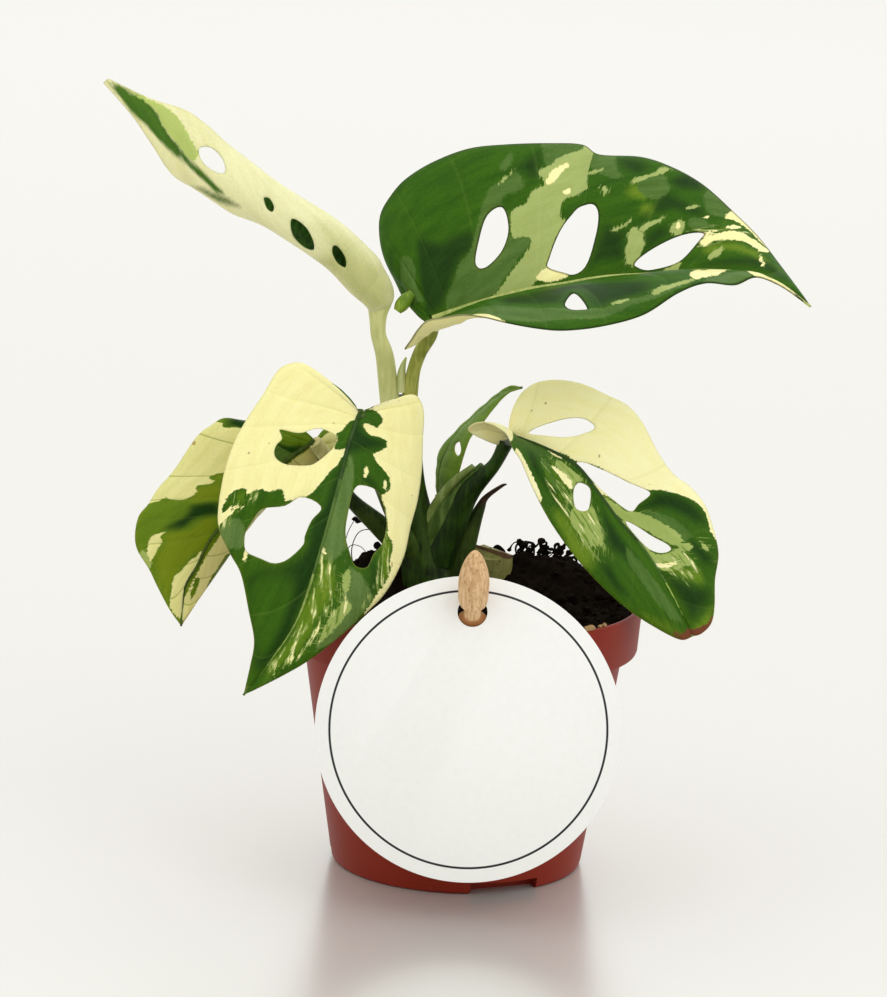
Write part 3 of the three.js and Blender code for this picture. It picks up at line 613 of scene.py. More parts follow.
def blade_sheet(name, blade, holes, marks, veins, quilt=0.16):
    """The skin of a blade with its holes, and what its colours need stored on each vertex."""
    rows = max(int(blade.length / FACET), 12)
    w = np.linspace(0, 1, rows + 1)
    low, high = blade.low(w), blade.high(w)
    border = [(x * blade.length, y) for x, y in zip(w, low)]
    border += [(x * blade.length, y) for x, y in zip(w[::-1], high[::-1]) if 0 < x < 1 or y > 0.05]
    plan, rings, edges = list(border), [], []
    for outline in holes:
        ring = closed_ring(outline, 44)
        ring = blade.flat(ring[:, 0], ring[:, 1])
        first = len(plan)
        edges += [(first + i, first + (i + 1) % len(ring)) for i in range(len(ring))]
        plan += [tuple(p) for p in ring]
        rings.append(ring)
    rim = np.array(plan)
    for i, (x, y0, y1) in enumerate(zip(w, low, high)):
        steps = int((y1 - y0) / FACET)
        for j in range(1, steps):
            y = y0 + (y1 - y0) * (j + (0.25 if i % 2 else -0.25)) / steps
            point = np.array((x * blade.length, y))
            if np.min(np.sum((rim - point) ** 2, axis=1)) > (0.45 * FACET) ** 2:
                plan.append(tuple(point))
    found = delaunay_2d_cdt([Vector(p) for p in plan], edges, [list(range(len(border)))], 1, 1e-5)
    points = np.array([tuple(p) for p in found[0]])
    faces = np.array([tuple(f) for f in found[2]])
    middles = points[faces].mean(axis=1)
    keep = np.ones(len(faces), bool)
    for ring in rings:
        keep &= ~inside(middles, ring)
    faces = faces[keep]
    if blade.hand < 0:
        faces = faces[:, ::-1]
    w, v = blade.shares(points)
    spots, up = blade.place(w, v)
    count = np.interp(w - 0.05 * np.abs(v) * (1 - np.abs(v)), veins, np.arange(len(veins)))
    off = np.abs(count - np.round(count)) * blade.length / len(veins)
    depth_in = np.clip(np.abs(v) * 6, 0, 1) * np.clip((1 - np.abs(v)) * 5, 0, 1)
    spots = spots - up * (quilt * depth_in * (np.exp(-((off / 0.7) ** 2)) - 0.3))[:, None]
    mesh = bpy.data.meshes.new(name)
    mesh.from_pydata((spots * MM).tolist(), [], faces.tolist())
    mesh.validate()
    edge = np.full(len(points), 1e9)
    for ring in [np.array(border), *rings]:
        edge = np.minimum(edge, np.abs(depth(points, ring)))
    midline = np.abs(points[:, 1]) < 1e-4
    numbers = {"vein": count, "out": points[:, 1], "way": points[:, 0], "edge": edge}
    for layer in LAYERS:
        field = np.full(len(points), -9.0)
        for kind, outline in marks:
            if kind.strip("-") == layer:
                ring = closed_ring(outline, 10 * len(outline))
                span = depth(points, blade.flat(ring[:, 0], ring[:, 1]))
                field = np.minimum(field, -span) if kind[0] == "-" else np.maximum(field, span)
        numbers[layer] = field
    for key, values in numbers.items():
        mesh.attributes.new(key, "FLOAT", "POINT").data.foreach_set("value", values.astype(np.float32))
    skin = bpy.data.objects.new(name, mesh)
    bpy.context.collection.objects.link(skin)
    thin = skin.vertex_groups.new(name="thin")
    for i, (from_edge, rib) in enumerate(zip(edge, midline)):
        thin.add([i], 1.0 if rib else 0.45 + 0.55 * min(from_edge / 1.2, 1), "REPLACE")
    only(skin)
    bpy.ops.object.mode_set(mode="EDIT")
    bpy.ops.mesh.select_all(action="SELECT")
    bpy.ops.mesh.remove_doubles(threshold=0.04 * MM)
    bpy.ops.mesh.delete_loose()
    bpy.ops.object.mode_set(mode="OBJECT")
    bpy.ops.object.shade_smooth()
    return skin


def thicken(skin, top, under):
    dress(skin, top, under)
    wall = skin.modifiers.new("wall", "SOLIDIFY")
    wall.thickness, wall.offset, wall.vertex_group = BLADE * MM, 0, "thin"
    wall.material_offset = 1
    only(skin)
    bpy.ops.object.modifier_apply(modifier=wall.name)


def blade_finish(name, colours, under=False):
    """A leaf's skin: veined green with its lighter and cream marks, feathered along the veins."""
    skin = Finish(name, Specular_IOR_Level=0.09, Subsurface_Weight=0.25, Subsurface_Scale=1.2 * MM)
    skin.shader.inputs["Subsurface Radius"].default_value = (1, 0.8, 0.3)
    vein, out, way, edge = (skin.number(key) for key in ("vein", "out", "way", "edge"))
    plan = skin.node("ShaderNodeCombineXYZ", {}, way, out, 0.0)
    fine = skin.noise(skin.scaled(plan, 2.6, 0.45, 1), 1, 4, 0.65)
    cells = skin.noise(plan, 2.4, 3, 0.6)
    turned_plan = (out * 0.95 - way * 0.3, way * 0.95 + out * 0.3, 0.0)
    slant = skin.node("ShaderNodeCombineXYZ", {}, *turned_plan)
    broad = skin.noise(skin.scaled(slant, 0.6, 0.12, 1), 1, 4, 0.6)
    mottle = skin.step(broad * 0.6 + cells * 0.4, 0.32, 0.68)
    jitter = (fine - 0.5) * 1.3 + (cells - 0.5) * 0.4
    field = {key: skin.number(key) + jitter for key in LAYERS}
    from_vein = skin.node("ShaderNodeMath", {"operation": "PINGPONG"}, vein, 0.5)
    line = 1 - skin.step(from_vein, 0.008, 0.035)
    flat = skin.mix(mottle, tone(*colours["green"]), tone(*colours["green_2"]))
    streaks = skin.noise(skin.scaled(plan, 3.4, 0.3, 1), 1, 3, 0.6)
    blend = colours["blend"]
    changes = (
        ("olive", -0.6, 1.2), ("deep", -0.7, colours["soft"]), ("grey", -blend, blend),
        ("pale", -0.1, 0.1),
    )
    for key, low, high in changes:
        shade = skin.mix(mottle, tone(*colours[key]), tone(*colours[key + "_2"]))
        measure = skin.number(key) + (broad - 0.5) * 2 if key == "deep" else field[key]
        flat = skin.mix(skin.step(measure, low, high), flat, shade)
        if key == "olive":
            near = skin.step(field["pale"], -colours["fleck"] - 0.5, -0.2)
            flat = skin.mix(near * skin.step(streaks, 0.56, 0.62) * 0.8, flat, tone(*colours["pale"]))
    blotch = skin.noise(skin.scaled(slant, 1.2, 0.24, 1), 1, 4, 0.62)
    marbled = skin.step(field["marble"], -0.4, 0.8)
    between = marbled * (1 - skin.step(blotch, 0.41, 0.46)) * 0.8
    flat = skin.mix(between, flat, tone(*colours["olive"]))
    for level, share, key in ((0.52, 0.85, "pale"), (0.59, 0.8, "cream")):
        streak = marbled * skin.step(blotch, level, level + 0.04) * share
        flat = skin.mix(streak, flat, tone(*colours[key]))
    on_pale = skin.step(field["pale"], -0.1, 0.1)
    vein_tone = skin.mix(on_pale, tone(*colours["line"]), tone(188, 198, 128))
    flat = skin.mix(line * colours["vein"], flat, vein_tone)
    cream = skin.mix(mottle, tone(*colours["cream"]), tone(*colours["cream_2"]))
    cream = skin.mix(line * colours["cream_vein"], cream, tone(*colours["cream_line"]))
    speck = skin.step(skin.noise(plan, 0.9, 0, 0.5), 0.81, 0.84)
    cream = skin.mix(speck * 0.7, cream, tone(150, 122, 70))
    flat = skin.mix(skin.step(field["cream"], -0.07, 0.07), flat, cream)
    hem = (1 - skin.step(edge, 0.04, colours["hem"])) * colours["edge"]
    flat = skin.mix(hem, flat, tone(*colours["rim"]))
    flat = skin.mix(skin.step(field["brown"], -0.2, 0.2), flat, tone(112, 62, 42))
    if under:
        flat = skin.mix(0.25, flat, tone(*colours["under"]))
    rough = 0.42 + cells * 0.12 if not under else 0.55 + cells * 0.1
    relief = cells * 0.4 + skin.step(from_vein, 0.0, 0.1) * 0.8
    return skin.feed(Base_Color=flat, Roughness=rough, Normal=skin.bump(relief, 0.3, 0.14))


def stalk_finish(name, light, deep):
    skin = Finish(name, Roughness=0.45, Specular_IOR_Level=0.2)
    at = skin.place()
    fibre = skin.noise(skin.scaled(at, 1500, 1500, 90), 1, 3, 0.6)
    cloud = skin.noise(at, 160, 3, 0.5)
    shade = skin.mix(skin.step(fibre * 0.5 + cloud * 0.5, 0.4, 0.62), tone(*deep), tone(*light))
    return skin.feed(Base_Color=shade, Normal=skin.bump(fibre, 0.3, 0.08))


def flat_leaf(name, slot, node, leaf):
    """Makes one whole leaf from its data and puts it in place of its plain solid."""
    colours = {**GREENS, **leaf.get("colours", {})}
    top = blade_finish(f"{name}_upper_face", colours)
    under = blade_finish(f"{name}_lower_face", colours, under=True)
    stalk_look = stalk_finish(f"{name}_stalk", *leaf["stalk"])
    skins = []
    for side, hand in (("left", 1), ("right", -1)):
        half = HalfBlade(leaf["midrib"], leaf[side], hand)
        marks = leaf.get(f"{side}_marks", [])
        marks = marks_on(half, marks) + leaf.get(f"{side}_turned_away", []) if marks else []
        veins = leaf.get(f"{side}_veins", np.linspace(0, 1, 12))
        skin = blade_sheet(f"{name}_{side}", half, leaf.get(f"{side}_holes", []), marks, veins)
        thicken(skin, top, under)
        skins.append(skin)
    parts, begin = [], 0
    for i, (end, *shades) in enumerate(leaf.get("rib_tones", [(1, *leaf["stalk"])])):
        share = np.linspace(begin, end, 50)
        thick = leaf.get("rib", 0.6) * (1 - share) + 0.2 * share
        part = strand(f"{name}_midrib", np.column_stack([along(leaf["midrib"], share), thick]), 4)
        dress(part, stalk_finish(f"{name}_midrib_{i}", *shades))
        parts.append(part)
        begin = end
    stalk = strand(f"{name}_petiole", along(leaf["petiole"], np.linspace(0, 1, 50)), 6)
    dress(stalk, stalk_look)
    parts.append(stalk)
    for i, (rows, *shades) in enumerate(leaf.get("sheaths", [])):
        part = strand(f"{name}_sheath", along(rows, np.linspace(0, 1, 40)), 6)
        dress(part, stalk_finish(f"{name}_sheath_{i}", *shades))
        parts.append(part)
    whole = only(*skins, *parts)
    bpy.ops.object.join()
    whole.name = whole.data.name = name
    bpy.ops.object.transform_apply(location=True, rotation=True, scale=True)
    settle(whole, slot, node)


GREENS = {
    "green": (42, 82, 6), "green_2": (60, 102, 12), "olive": (88, 122, 18), "olive_2": (110, 138, 34),
    "deep": (18, 50, 4), "deep_2": (30, 66, 10), "grey": (68, 102, 36), "grey_2": (90, 122, 56),
    "pale": (148, 168, 88), "pale_2": (164, 182, 104), "cream": (252, 246, 182),
    "cream_2": (244, 234, 164), "line": (104, 134, 54), "cream_line": (170, 176, 90),
    "under": (220, 220, 168), "vein": 0.18, "cream_vein": 0.08, "edge": 0.25, "rim": (150, 150, 84),
    "fleck": 0.0, "soft": 1.7, "blend": 0.25, "hem": 0.14,
}

LEAF_UPPER = {
    "midrib": [[-7, 4, 92], [0.5, 3, 95], [8, 2, 97.5], [14.5, 1, 99], [21, 0, 100.5], [29, -1, 101.5],
               [36.5, -2, 102.5], [45, -3, 102.5], [50, -4, 101], [55, -4, 97.5]],
    "left": [[-7.5, 4, 91.5, 0], [-8.5, 4.5, 91.5, 0], [-10, 6, 92.5, 0], [-12, 8, 94.5, 0],
             [-13.5, 10, 97, 0], [-15.5, 12, 100.5, 0], [-16.5, 14, 104, 0.01],
             [-16.5, 15.5, 107.5, 0.02], [-15, 16.5, 110.5, 0.04], [-12.5, 17, 113.5, 0.06],
             [-8, 17.5, 116.5, 0.1], [-2, 17.5, 119, 0.15], [4.5, 17, 120, 0.21],
             [11.5, 16.5, 120.5, 0.28], [17, 16, 120.5, 0.33], [20, 15.5, 119, 0.36],
             [27, 14, 119, 0.44], [32.5, 12.5, 117.5, 0.5], [37.5, 10.5, 115, 0.57],
             [42.5, 8, 111, 0.65], [46.5, 5, 107.5, 0.73], [50, 1, 103.5, 0.82],
             [53, -2.5, 100, 0.93], [55, -4, 97.5, 1]],
    "right": [[-7.5, 4, 91, 0, -0.06], [-9, 3, 89, 0, -0.08], [-11.5, 2, 87, 0, -0.1],
              [-10.5, 0, 89, 0, -0.2], [-9.5, -2, 91, 0, -0.24], [-8, -4.5, 93, 0, -0.22],
              [-5.5, -7, 94, 0, -0.16], [-2, -9.5, 95, 0.02, -0.1], [1.5, -11.5, 95, 0.06, 0],
              [5, -13, 94.5, 0.11, 0.08], [10, -14.5, 94, 0.18, 0.08], [14.5, -15.5, 94, 0.25, 0.08],
              [20.5, -16, 95, 0.33, 0.08], [27, -15.5, 97, 0.42, 0.08], [32.5, -14, 100.5, 0.52, 0.08],
              [37, -12, 102, 0.6, 0.08], [42, -9.5, 101.5, 0.68, 0.08], [45.5, -7, 102.5, 0.78, 0.08],
              [49.5, -5, 101, 0.9, 0.08], [55, -4, 97.5, 1, 0.08]],
    "left_holes": [
        [[0.512, 0.54], [0.517, 0.39], [0.503, 0.26], [0.475, 0.19], [0.46, 0.23], [0.475, 0.38],
         [0.492, 0.51]],
        [[0.652, 0.56], [0.67, 0.51], [0.675, 0.3], [0.667, 0.08], [0.63, 0.06], [0.575, 0.11],
         [0.575, 0.18], [0.603, 0.4]],
        [[0.812, 0.49], [0.815, 0.4], [0.805, 0.12], [0.772, 0.04], [0.75, 0.06], [0.745, 0.12],
         [0.78, 0.33]],
    ],
    "right_holes": [
        [[0.628, 0.39], [0.628, 0.71], [0.62, 0.74], [0.603, 0.7], [0.603, 0.58]],
    ],
    "petiole": [[-7, 4, 91.5, 1.2], [-7.5, 4.5, 89, 1.25], [-9, 5, 86, 1.15], [-10, 6, 82.5, 1.15],
                [-10.5, 7, 78, 1.35], [-11, 7.5, 74, 1.4]],
    "stalk": ((176, 178, 90), (124, 134, 50)),
    "colours": {"green": (40, 82, 6), "green_2": (60, 104, 12), "deep": (24, 54, 8),
                "deep_2": (36, 70, 14), "pale": (156, 172, 98), "pale_2": (168, 184, 112),
                "edge": 0.8, "hem": 0.4, "rim": (24, 42, 12), "vein": 0.12},
    "rib_tones": [(1, (196, 202, 124), (150, 168, 84))],
    "sheaths": [
        ([(-12, 6.3, 79, 0.8), (-12, 6.2, 81.6, 0.75), (-11.8, 6, 83.4, 0.5), (-11.3, 5.8, 85, 0.15)],
         (206, 208, 150), (170, 180, 110)),
    ],
    "right_turned_away": [
        ("cream", [[-0.02, 0.16], [0.12, 0.12], [0.26, 0.2], [0.36, 0.42], [0.42, 0.72], [0.46, 1.08],
                   [0.2, 1.1], [-0.02, 1.08]]),
    ],
}
LEAF_UPPER["left_marks"] = [
    # This dark patch is painted shade: the left lobe darkening towards its lower left.
    ("deep", [(418, 238), (440, 241), (458, 233), (474, 230), (475, 250), (465, 259), (459, 270),
        (454, 282), (450, 294), (445, 305), (438, 313), (431, 317), (424, 300), (419, 280),
        (417, 258)]),
    ("deep", [(513, 167), (520, 163), (526, 158), (541, 150), (543, 172), (540, 178), (530, 181),
        (521, 174)]),
    ("deep", [(598, 232), (607, 221), (618, 230), (634, 226), (645, 212), (650, 216), (634, 230),
        (628, 236), (626, 256), (618, 262), (602, 264), (588, 270), (592, 250)]),
    ("deep", [(645, 236), (658, 226), (671, 228), (668, 237), (652, 249), (644, 255), (645, 246),
        (641, 238)]),
    ("deep", [(616, 159), (640, 160), (650, 168), (642, 176), (628, 174), (618, 167)]),
    ("deep", [(652, 204), (668, 190), (676, 195), (690, 203), (703, 208), (705, 216), (690, 217),
        (672, 212), (656, 216)]),
    ("deep", [(668, 180), (690, 178), (705, 186), (702, 192), (684, 192), (672, 188)]),
    ("deep", [(700, 266), (716, 260), (740, 258), (756, 258), (772, 266), (790, 282), (782, 281),
        (764, 272), (745, 268), (722, 267)]),
    ("grey", [(489, 190), (500, 182), (515, 172), (521, 176), (524, 186), (518, 192), (506, 196),
        (502, 203), (507, 212), (511, 222), (511, 232), (514, 238), (530, 238), (528, 247),
        (520, 258), (511, 270), (500, 286), (490, 297), (475, 306), (460, 311), (446, 314),
        (446, 303), (452, 285), (459, 265), (470, 252), (476, 230), (481, 208)]),
    ("grey", [(541, 146), (560, 143), (586, 147), (584, 151), (568, 156), (560, 160), (558, 166),
        (547, 167), (543, 156)]),
    ("grey", [(513, 152), (511, 164), (504, 172), (499, 169), (506, 158)]),
    ("grey", [(590, 158), (610, 156), (616, 166), (622, 178), (612, 179), (598, 174), (590, 166)]),
    ("grey", [(642, 179), (663, 175), (668, 184), (668, 194), (652, 200), (638, 190)]),
    # This grey strip along the lobe's left edge is painted sheen, the lighter fade at its lower left.
    ("grey", [(401, 262), (405, 256), (412, 260), (416, 272), (417, 287), (422, 302), (423, 318),
        (415, 305), (406, 291), (401, 275)]),
    ("grey", [(704, 192), (712, 194), (730, 207), (736, 213), (725, 218), (712, 216), (704, 205)]),
    ("grey", [(690, 219), (704, 220), (708, 228), (696, 232), (690, 227)]),
    ("pale", [(587, 148), (593, 152), (590, 162), (588, 172), (586, 182), (587, 190), (575, 196),
        (566, 200), (560, 208), (561, 219), (566, 222), (556, 240), (551, 252), (549, 262),
        (550, 269), (542, 279), (534, 284), (520, 290), (505, 295), (490, 301), (476, 306),
        (500, 289), (510, 275), (520, 262), (529, 248), (531, 239), (522, 237), (514, 239),
        (511, 231), (511, 216), (514, 209), (525, 205), (530, 197), (536, 190), (546, 185),
        (541, 176), (540, 170), (550, 166), (558, 160), (570, 154), (582, 150)]),
    ("olive", [(514, 226), (524, 224), (531, 230), (530, 238), (516, 238)]),
    ("pale", [(628, 235), (634, 228), (640, 231), (643, 238), (644, 246), (641, 254), (640, 263),
        (632, 265), (627, 263), (626, 250), (629, 243)]),
    ("pale", [(632, 181), (640, 177), (652, 174), (662, 168), (670, 169), (664, 174), (650, 178),
        (641, 182), (633, 185)]),
    ("pale", [(640, 229), (648, 222), (656, 220), (664, 217), (660, 223), (650, 227), (642, 232)]),
    ("pale", [(612, 230), (622, 226), (631, 219), (628, 225), (618, 231)]),
    ("pale", [(600, 188), (607, 187), (608, 193), (605, 196), (602, 192)]),
    ("pale", [(664, 271), (672, 266), (678, 261), (681, 266), (679, 271)]),
    ("pale", [(708, 258), (715, 252), (722, 249), (721, 254), (712, 260)]),
    ("pale", [(498, 184), (507, 176), (515, 169), (510, 177), (501, 185)]),
    ("pale", [(586, 175), (595, 171), (605, 169), (597, 174)]),
    ("pale", [(671, 232), (671, 226), (678, 221), (685, 223), (683, 232), (678, 236)]),
    ("pale", [(684, 209), (692, 206), (700, 206), (692, 210)]),
    ("olive", [(640, 206), (650, 203), (654, 208), (648, 218), (640, 214)]),
    ("olive", [(628, 186), (640, 184), (650, 190), (650, 198), (640, 200), (626, 196)]),
    ("olive", [(704, 246), (718, 244), (740, 244), (756, 252), (768, 262), (758, 262), (742, 254),
        (722, 252), (706, 256)]),
    ("cream", [(545, 184), (547, 178), (552, 171), (560, 166), (567, 163), (569, 168), (563, 172),
        (556, 180), (550, 186)]),
    ("cream", [(562, 193), (568, 189), (571, 191), (567, 195)]),
    ("cream", [(536, 278), (544, 270), (556, 268), (565, 272), (568, 276), (560, 280), (550, 282),
        (540, 281)]),
    ("cream", [(700, 243), (706, 238), (716, 235), (730, 232), (742, 234), (752, 240), (762, 246),
        (769, 252), (764, 254), (754, 248), (744, 243), (734, 241), (722, 240), (712, 241),
        (704, 246)]),
    ("cream", [(724, 217), (733, 211), (741, 214), (750, 222), (758, 231), (766, 242), (770, 250),
        (762, 245), (752, 234), (741, 225), (730, 220)]),
    ("cream", [(701, 235), (710, 231), (719, 231), (711, 235), (704, 239)]),
    ("cream", [(702, 219), (709, 217), (707, 220)]),
    ("cream", [(726, 229), (734, 226), (741, 229), (734, 230)]),
    ("cream", [(759, 253), (763, 261), (765, 270), (762, 267), (759, 260)]),
    ("cream", [(676, 225), (680, 223), (681, 229), (677, 230)]),
    ("marble", [(672, 226), (690, 232), (706, 228), (724, 226), (745, 230), (760, 246), (740, 243),
        (704, 247), (682, 240)]),
]
LEAF_UPPER["right_marks"] = [
    ("deep", [(500, 300), (530, 294), (570, 286), (600, 284), (640, 282), (654, 285), (650, 292),
        (630, 299), (610, 305), (600, 309), (589, 304), (580, 293), (572, 292), (562, 304),
        (545, 306), (520, 306), (505, 305)]),
    ("grey", [(452, 317), (480, 309), (520, 308), (560, 309), (590, 309), (612, 307), (625, 301),
        (650, 296), (668, 289), (690, 281), (694, 283), (672, 292), (655, 299), (632, 306),
        (620, 313), (597, 319), (560, 321), (530, 323), (500, 320), (480, 318)]),
    ("pale", [(652, 297), (657, 289), (675, 284), (692, 280), (702, 279), (690, 283), (674, 288),
        (662, 293)]),
    ("pale", [(612, 305), (618, 302), (630, 300), (622, 304)]),
    ("grey", [(700, 283), (712, 277), (728, 274), (745, 273), (753, 277), (748, 282), (735, 284),
        (715, 285)]),
    ("cream", [(690, 275), (705, 271), (730, 268), (745, 268), (757, 270), (775, 276), (788, 284),
        (802, 297), (794, 296), (780, 286), (760, 278), (752, 275), (740, 272), (722, 274),
        (710, 278), (698, 280), (692, 279)]),
]
flat_leaf("upper_leaf", "leaf_upper_blade", "leaf_upper", LEAF_UPPER)

LEAF_FRONT = {
    "midrib": [[-18.5, -12, 78.5], [-20, -15.5, 74], [-21.5, -19, 67], [-24, -22.5, 57], [-27, -25, 47],
               [-31.5, -26, 39.5], [-35.5, -26, 34]],
    "left": [[-18.5, -12, 78.5, 0], [-16.5, -11, 79, 0], [-13.5, -9, 80, 0], [-10.5, -7.5, 81, 0],
             [-9, -6.5, 80.5, 0], [-8, -6, 78, 0.02], [-8, -6.5, 73.5, 0.07], [-8, -8, 68.5, 0.13],
             [-8.5, -10.5, 64, 0.2], [-9.5, -13, 60, 0.27], [-10.5, -17, 55.5, 0.37],
             [-13, -21.5, 51, 0.5], [-16, -24, 48, 0.6], [-20, -26, 44.5, 0.71],
             [-25, -27, 40.5, 0.83], [-29.5, -26.5, 37.5, 0.92], [-35.5, -26, 34, 1]],
    "right": [[-18.5, -12, 78.5, 0], [-21, -12.5, 81.7, 0], [-22.9, -13, 83.4, 0], [-25.6, -14, 84.2, 0],
              [-27.8, -15, 87, 0], [-31.4, -16, 86.2, 0.01], [-34, -17, 82, 0.03], [-36.5, -18, 78, 0.06],
              [-38.5, -19.5, 74, 0.1], [-40, -21, 68.5, 0.17], [-40.5, -22, 61.5, 0.27],
              [-38.5, -23, 57, 0.36], [-36.5, -23.5, 53.5, 0.43], [-35, -24.5, 47.5, 0.57],
              [-34, -25.5, 43, 0.7], [-34.5, -26, 39, 0.84], [-35.5, -26, 34, 1]],
    "left_holes": [
        [[0.588, 0.17], [0.565, 0.24], [0.552, 0.45], [0.578, 0.6], [0.598, 0.66], [0.63, 0.68],
         [0.65, 0.63], [0.67, 0.62], [0.677, 0.48], [0.665, 0.34], [0.65, 0.23], [0.625, 0.18]],
    ],
    "right_holes": [
        [[0.48, 0.65], [0.495, 0.52], [0.5, 0.43], [0.487, 0.3], [0.517, 0.15], [0.537, 0.11],
         [0.562, 0.12], [0.578, 0.17], [0.588, 0.23], [0.59, 0.29], [0.58, 0.43], [0.568, 0.53],
         [0.547, 0.61], [0.525, 0.62], [0.51, 0.59]],
        [[0.672, 0.83], [0.65, 0.73], [0.638, 0.64], [0.652, 0.46], [0.65, 0.31], [0.693, 0.12],
         [0.715, 0.2], [0.745, 0.26], [0.76, 0.27], [0.768, 0.48], [0.755, 0.69], [0.713, 0.86]],
    ],
    "petiole": [[-18.5, -12, 78.5, 1.1], [-17.5, -8, 72.5, 1.1], [-15, -3, 65.5, 1.2],
                [-12, 3, 57.5, 1.4], [-8, 8, 50, 1.8]],
    "stalk": ((80, 104, 40), (48, 70, 24)), "rib": 0.45,
    "colours": {"fleck": 1.2, "grey": (82, 112, 48), "grey_2": (102, 130, 68)},
    "rib_tones": [(0.3, (52, 82, 26), (34, 60, 14)), (0.55, (84, 112, 46), (62, 90, 30)),
                  (0.85, (150, 170, 90), (110, 134, 56)), (1, (104, 132, 44), (80, 108, 30))],
}
LEAF_FRONT["right_marks"] = [
    ("deep", [(322, 507), (330, 482), (341, 462), (346, 450), (350, 440), (346, 470), (339, 500),
        (331, 530), (323, 552), (315, 577), (300, 612), (288, 640), (272, 660), (258, 676),
        (252, 664), (254, 640), (250, 605), (245, 580), (262, 568), (280, 565), (304, 550),
        (307, 535), (312, 520)]),
    ("-deep", [(255, 585), (275, 578), (290, 590), (284, 612), (272, 640), (262, 655), (257, 640),
        (253, 612)]),
    ("grey", [(218, 535), (224, 524), (238, 518), (245, 530), (242, 547), (236, 548), (226, 541)]),
    ("cream", [(359, 413), (347, 401), (331, 389), (315, 379), (304, 362), (278, 367), (260, 392),
        (246, 420), (232, 446), (219, 480), (214, 512), (215, 532), (219, 528), (225, 519),
        (231, 512), (233, 507), (228, 509), (224, 512), (223, 508), (227, 499), (234, 491),
        (240, 488), (247, 489), (247, 493), (252, 492), (257, 490), (263, 490), (268, 491),
        (279, 489), (284, 494), (285, 500), (295, 499), (306, 497), (315, 489), (323, 480),
        (330, 472), (337, 466), (341, 458), (345, 449), (340, 450), (334, 448), (337, 440),
        (336, 434), (342, 430), (350, 421), (357, 415)]),
    ("cream", [(245, 550), (248, 552), (246, 562), (243, 558)]),
    ("cream", [(229, 514), (236, 505), (240, 503), (236, 509), (231, 516)]),
    ("cream", [(238, 510), (246, 503), (252, 499), (247, 505), (240, 511)]),
    ("marble", [(224, 498), (236, 490), (250, 490), (264, 492), (256, 500), (245, 506), (238, 514),
        (230, 524), (222, 532), (216, 530), (222, 518), (228, 508)]),
]
LEAF_FRONT["left_marks"] = [
    ("deep", [(349, 430), (358, 415), (362, 425), (366, 434), (376, 438), (384, 441), (384, 448),
        (374, 451), (360, 453), (350, 455), (346, 462), (346, 446)]),
    ("deep", [(361, 480), (366, 474), (374, 480), (380, 490), (385, 490), (380, 494), (370, 488)]),
    ("deep", [(372, 557), (377, 570), (378, 580), (374, 592), (367, 603), (361, 612), (357, 613),
        (360, 600), (366, 588), (369, 575), (366, 567)]),
    ("grey", [(350, 455), (354, 470), (352, 490), (349, 505), (347, 520), (345, 532), (348, 545),
        (341, 552), (334, 560), (327, 562), (322, 556), (325, 540), (332, 515), (339, 490),
        (345, 470)]),
    # This grey patch and the two pale patches after it are painted sheen: the pale grey reflection on the
    # lower right of the front leaf.
    ("grey", [(349, 566), (360, 574), (368, 588), (372, 600), (365, 610), (358, 618), (350, 630),
        (338, 640), (325, 646), (316, 651), (322, 636), (334, 620), (340, 605), (345, 592),
        (348, 580)]),
    ("pale", [(330, 616), (337, 608), (345, 602), (352, 605), (345, 616), (338, 625), (328, 636),
        (318, 645), (322, 632)]),
    ("pale", [(343, 577), (349, 569), (350, 580), (347, 592), (343, 590)]),
    ("olive", [(322, 560), (334, 570), (336, 585), (330, 600), (322, 612), (312, 630), (300, 648),
        (286, 660), (270, 676), (256, 688), (268, 668), (280, 652), (292, 636), (300, 616),
        (310, 594), (318, 574)]),
    ("cream", [(322, 551), (325, 548), (326, 555)]),
    ("cream", [(361, 412), (372, 407), (390, 401), (408, 394), (419, 397), (425, 412), (425, 440),
        (423, 470), (419, 500), (413, 528), (404, 560), (387, 594), (369, 615), (361, 622),
        (364, 613), (371, 603), (378, 591), (385, 583), (389, 573), (390, 560), (391, 545),
        (387, 534), (387, 520), (385, 510), (381, 497), (385, 493), (389, 489), (389, 481),
        (386, 474), (381, 468), (376, 462), (373, 457), (374, 453), (380, 451), (385, 448),
        (386, 443), (383, 439), (376, 437), (369, 435), (365, 430), (363, 425), (367, 424),
        (373, 426), (377, 428), (379, 425), (382, 421), (380, 415), (375, 411), (369, 409),
        (364, 412)]),
    ("cream", [(363, 475), (365, 467), (368, 470), (366, 478)]),
    ("cream", [(382, 487), (384, 480), (386, 481), (385, 489)]),
    ("olive", [(386, 536), (391, 545), (390, 560), (389, 573), (384, 583), (381, 575), (380, 562),
        (381, 548)]),
    ("marble", [(322, 548), (332, 560), (338, 575), (344, 590), (350, 602), (346, 616), (338, 628),
        (322, 642), (304, 656), (286, 668), (268, 682), (256, 690), (268, 668), (280, 652),
        (292, 636), (302, 616), (311, 594), (318, 574)]),
    ("marble", [(384, 530), (391, 545), (390, 560), (389, 573), (384, 583), (376, 596), (366, 610),
        (358, 616), (362, 602), (370, 588), (376, 574), (378, 560), (380, 548)]),
]
flat_leaf("front_leaf", "leaf_front_blade", "leaf_front", LEAF_FRONT)

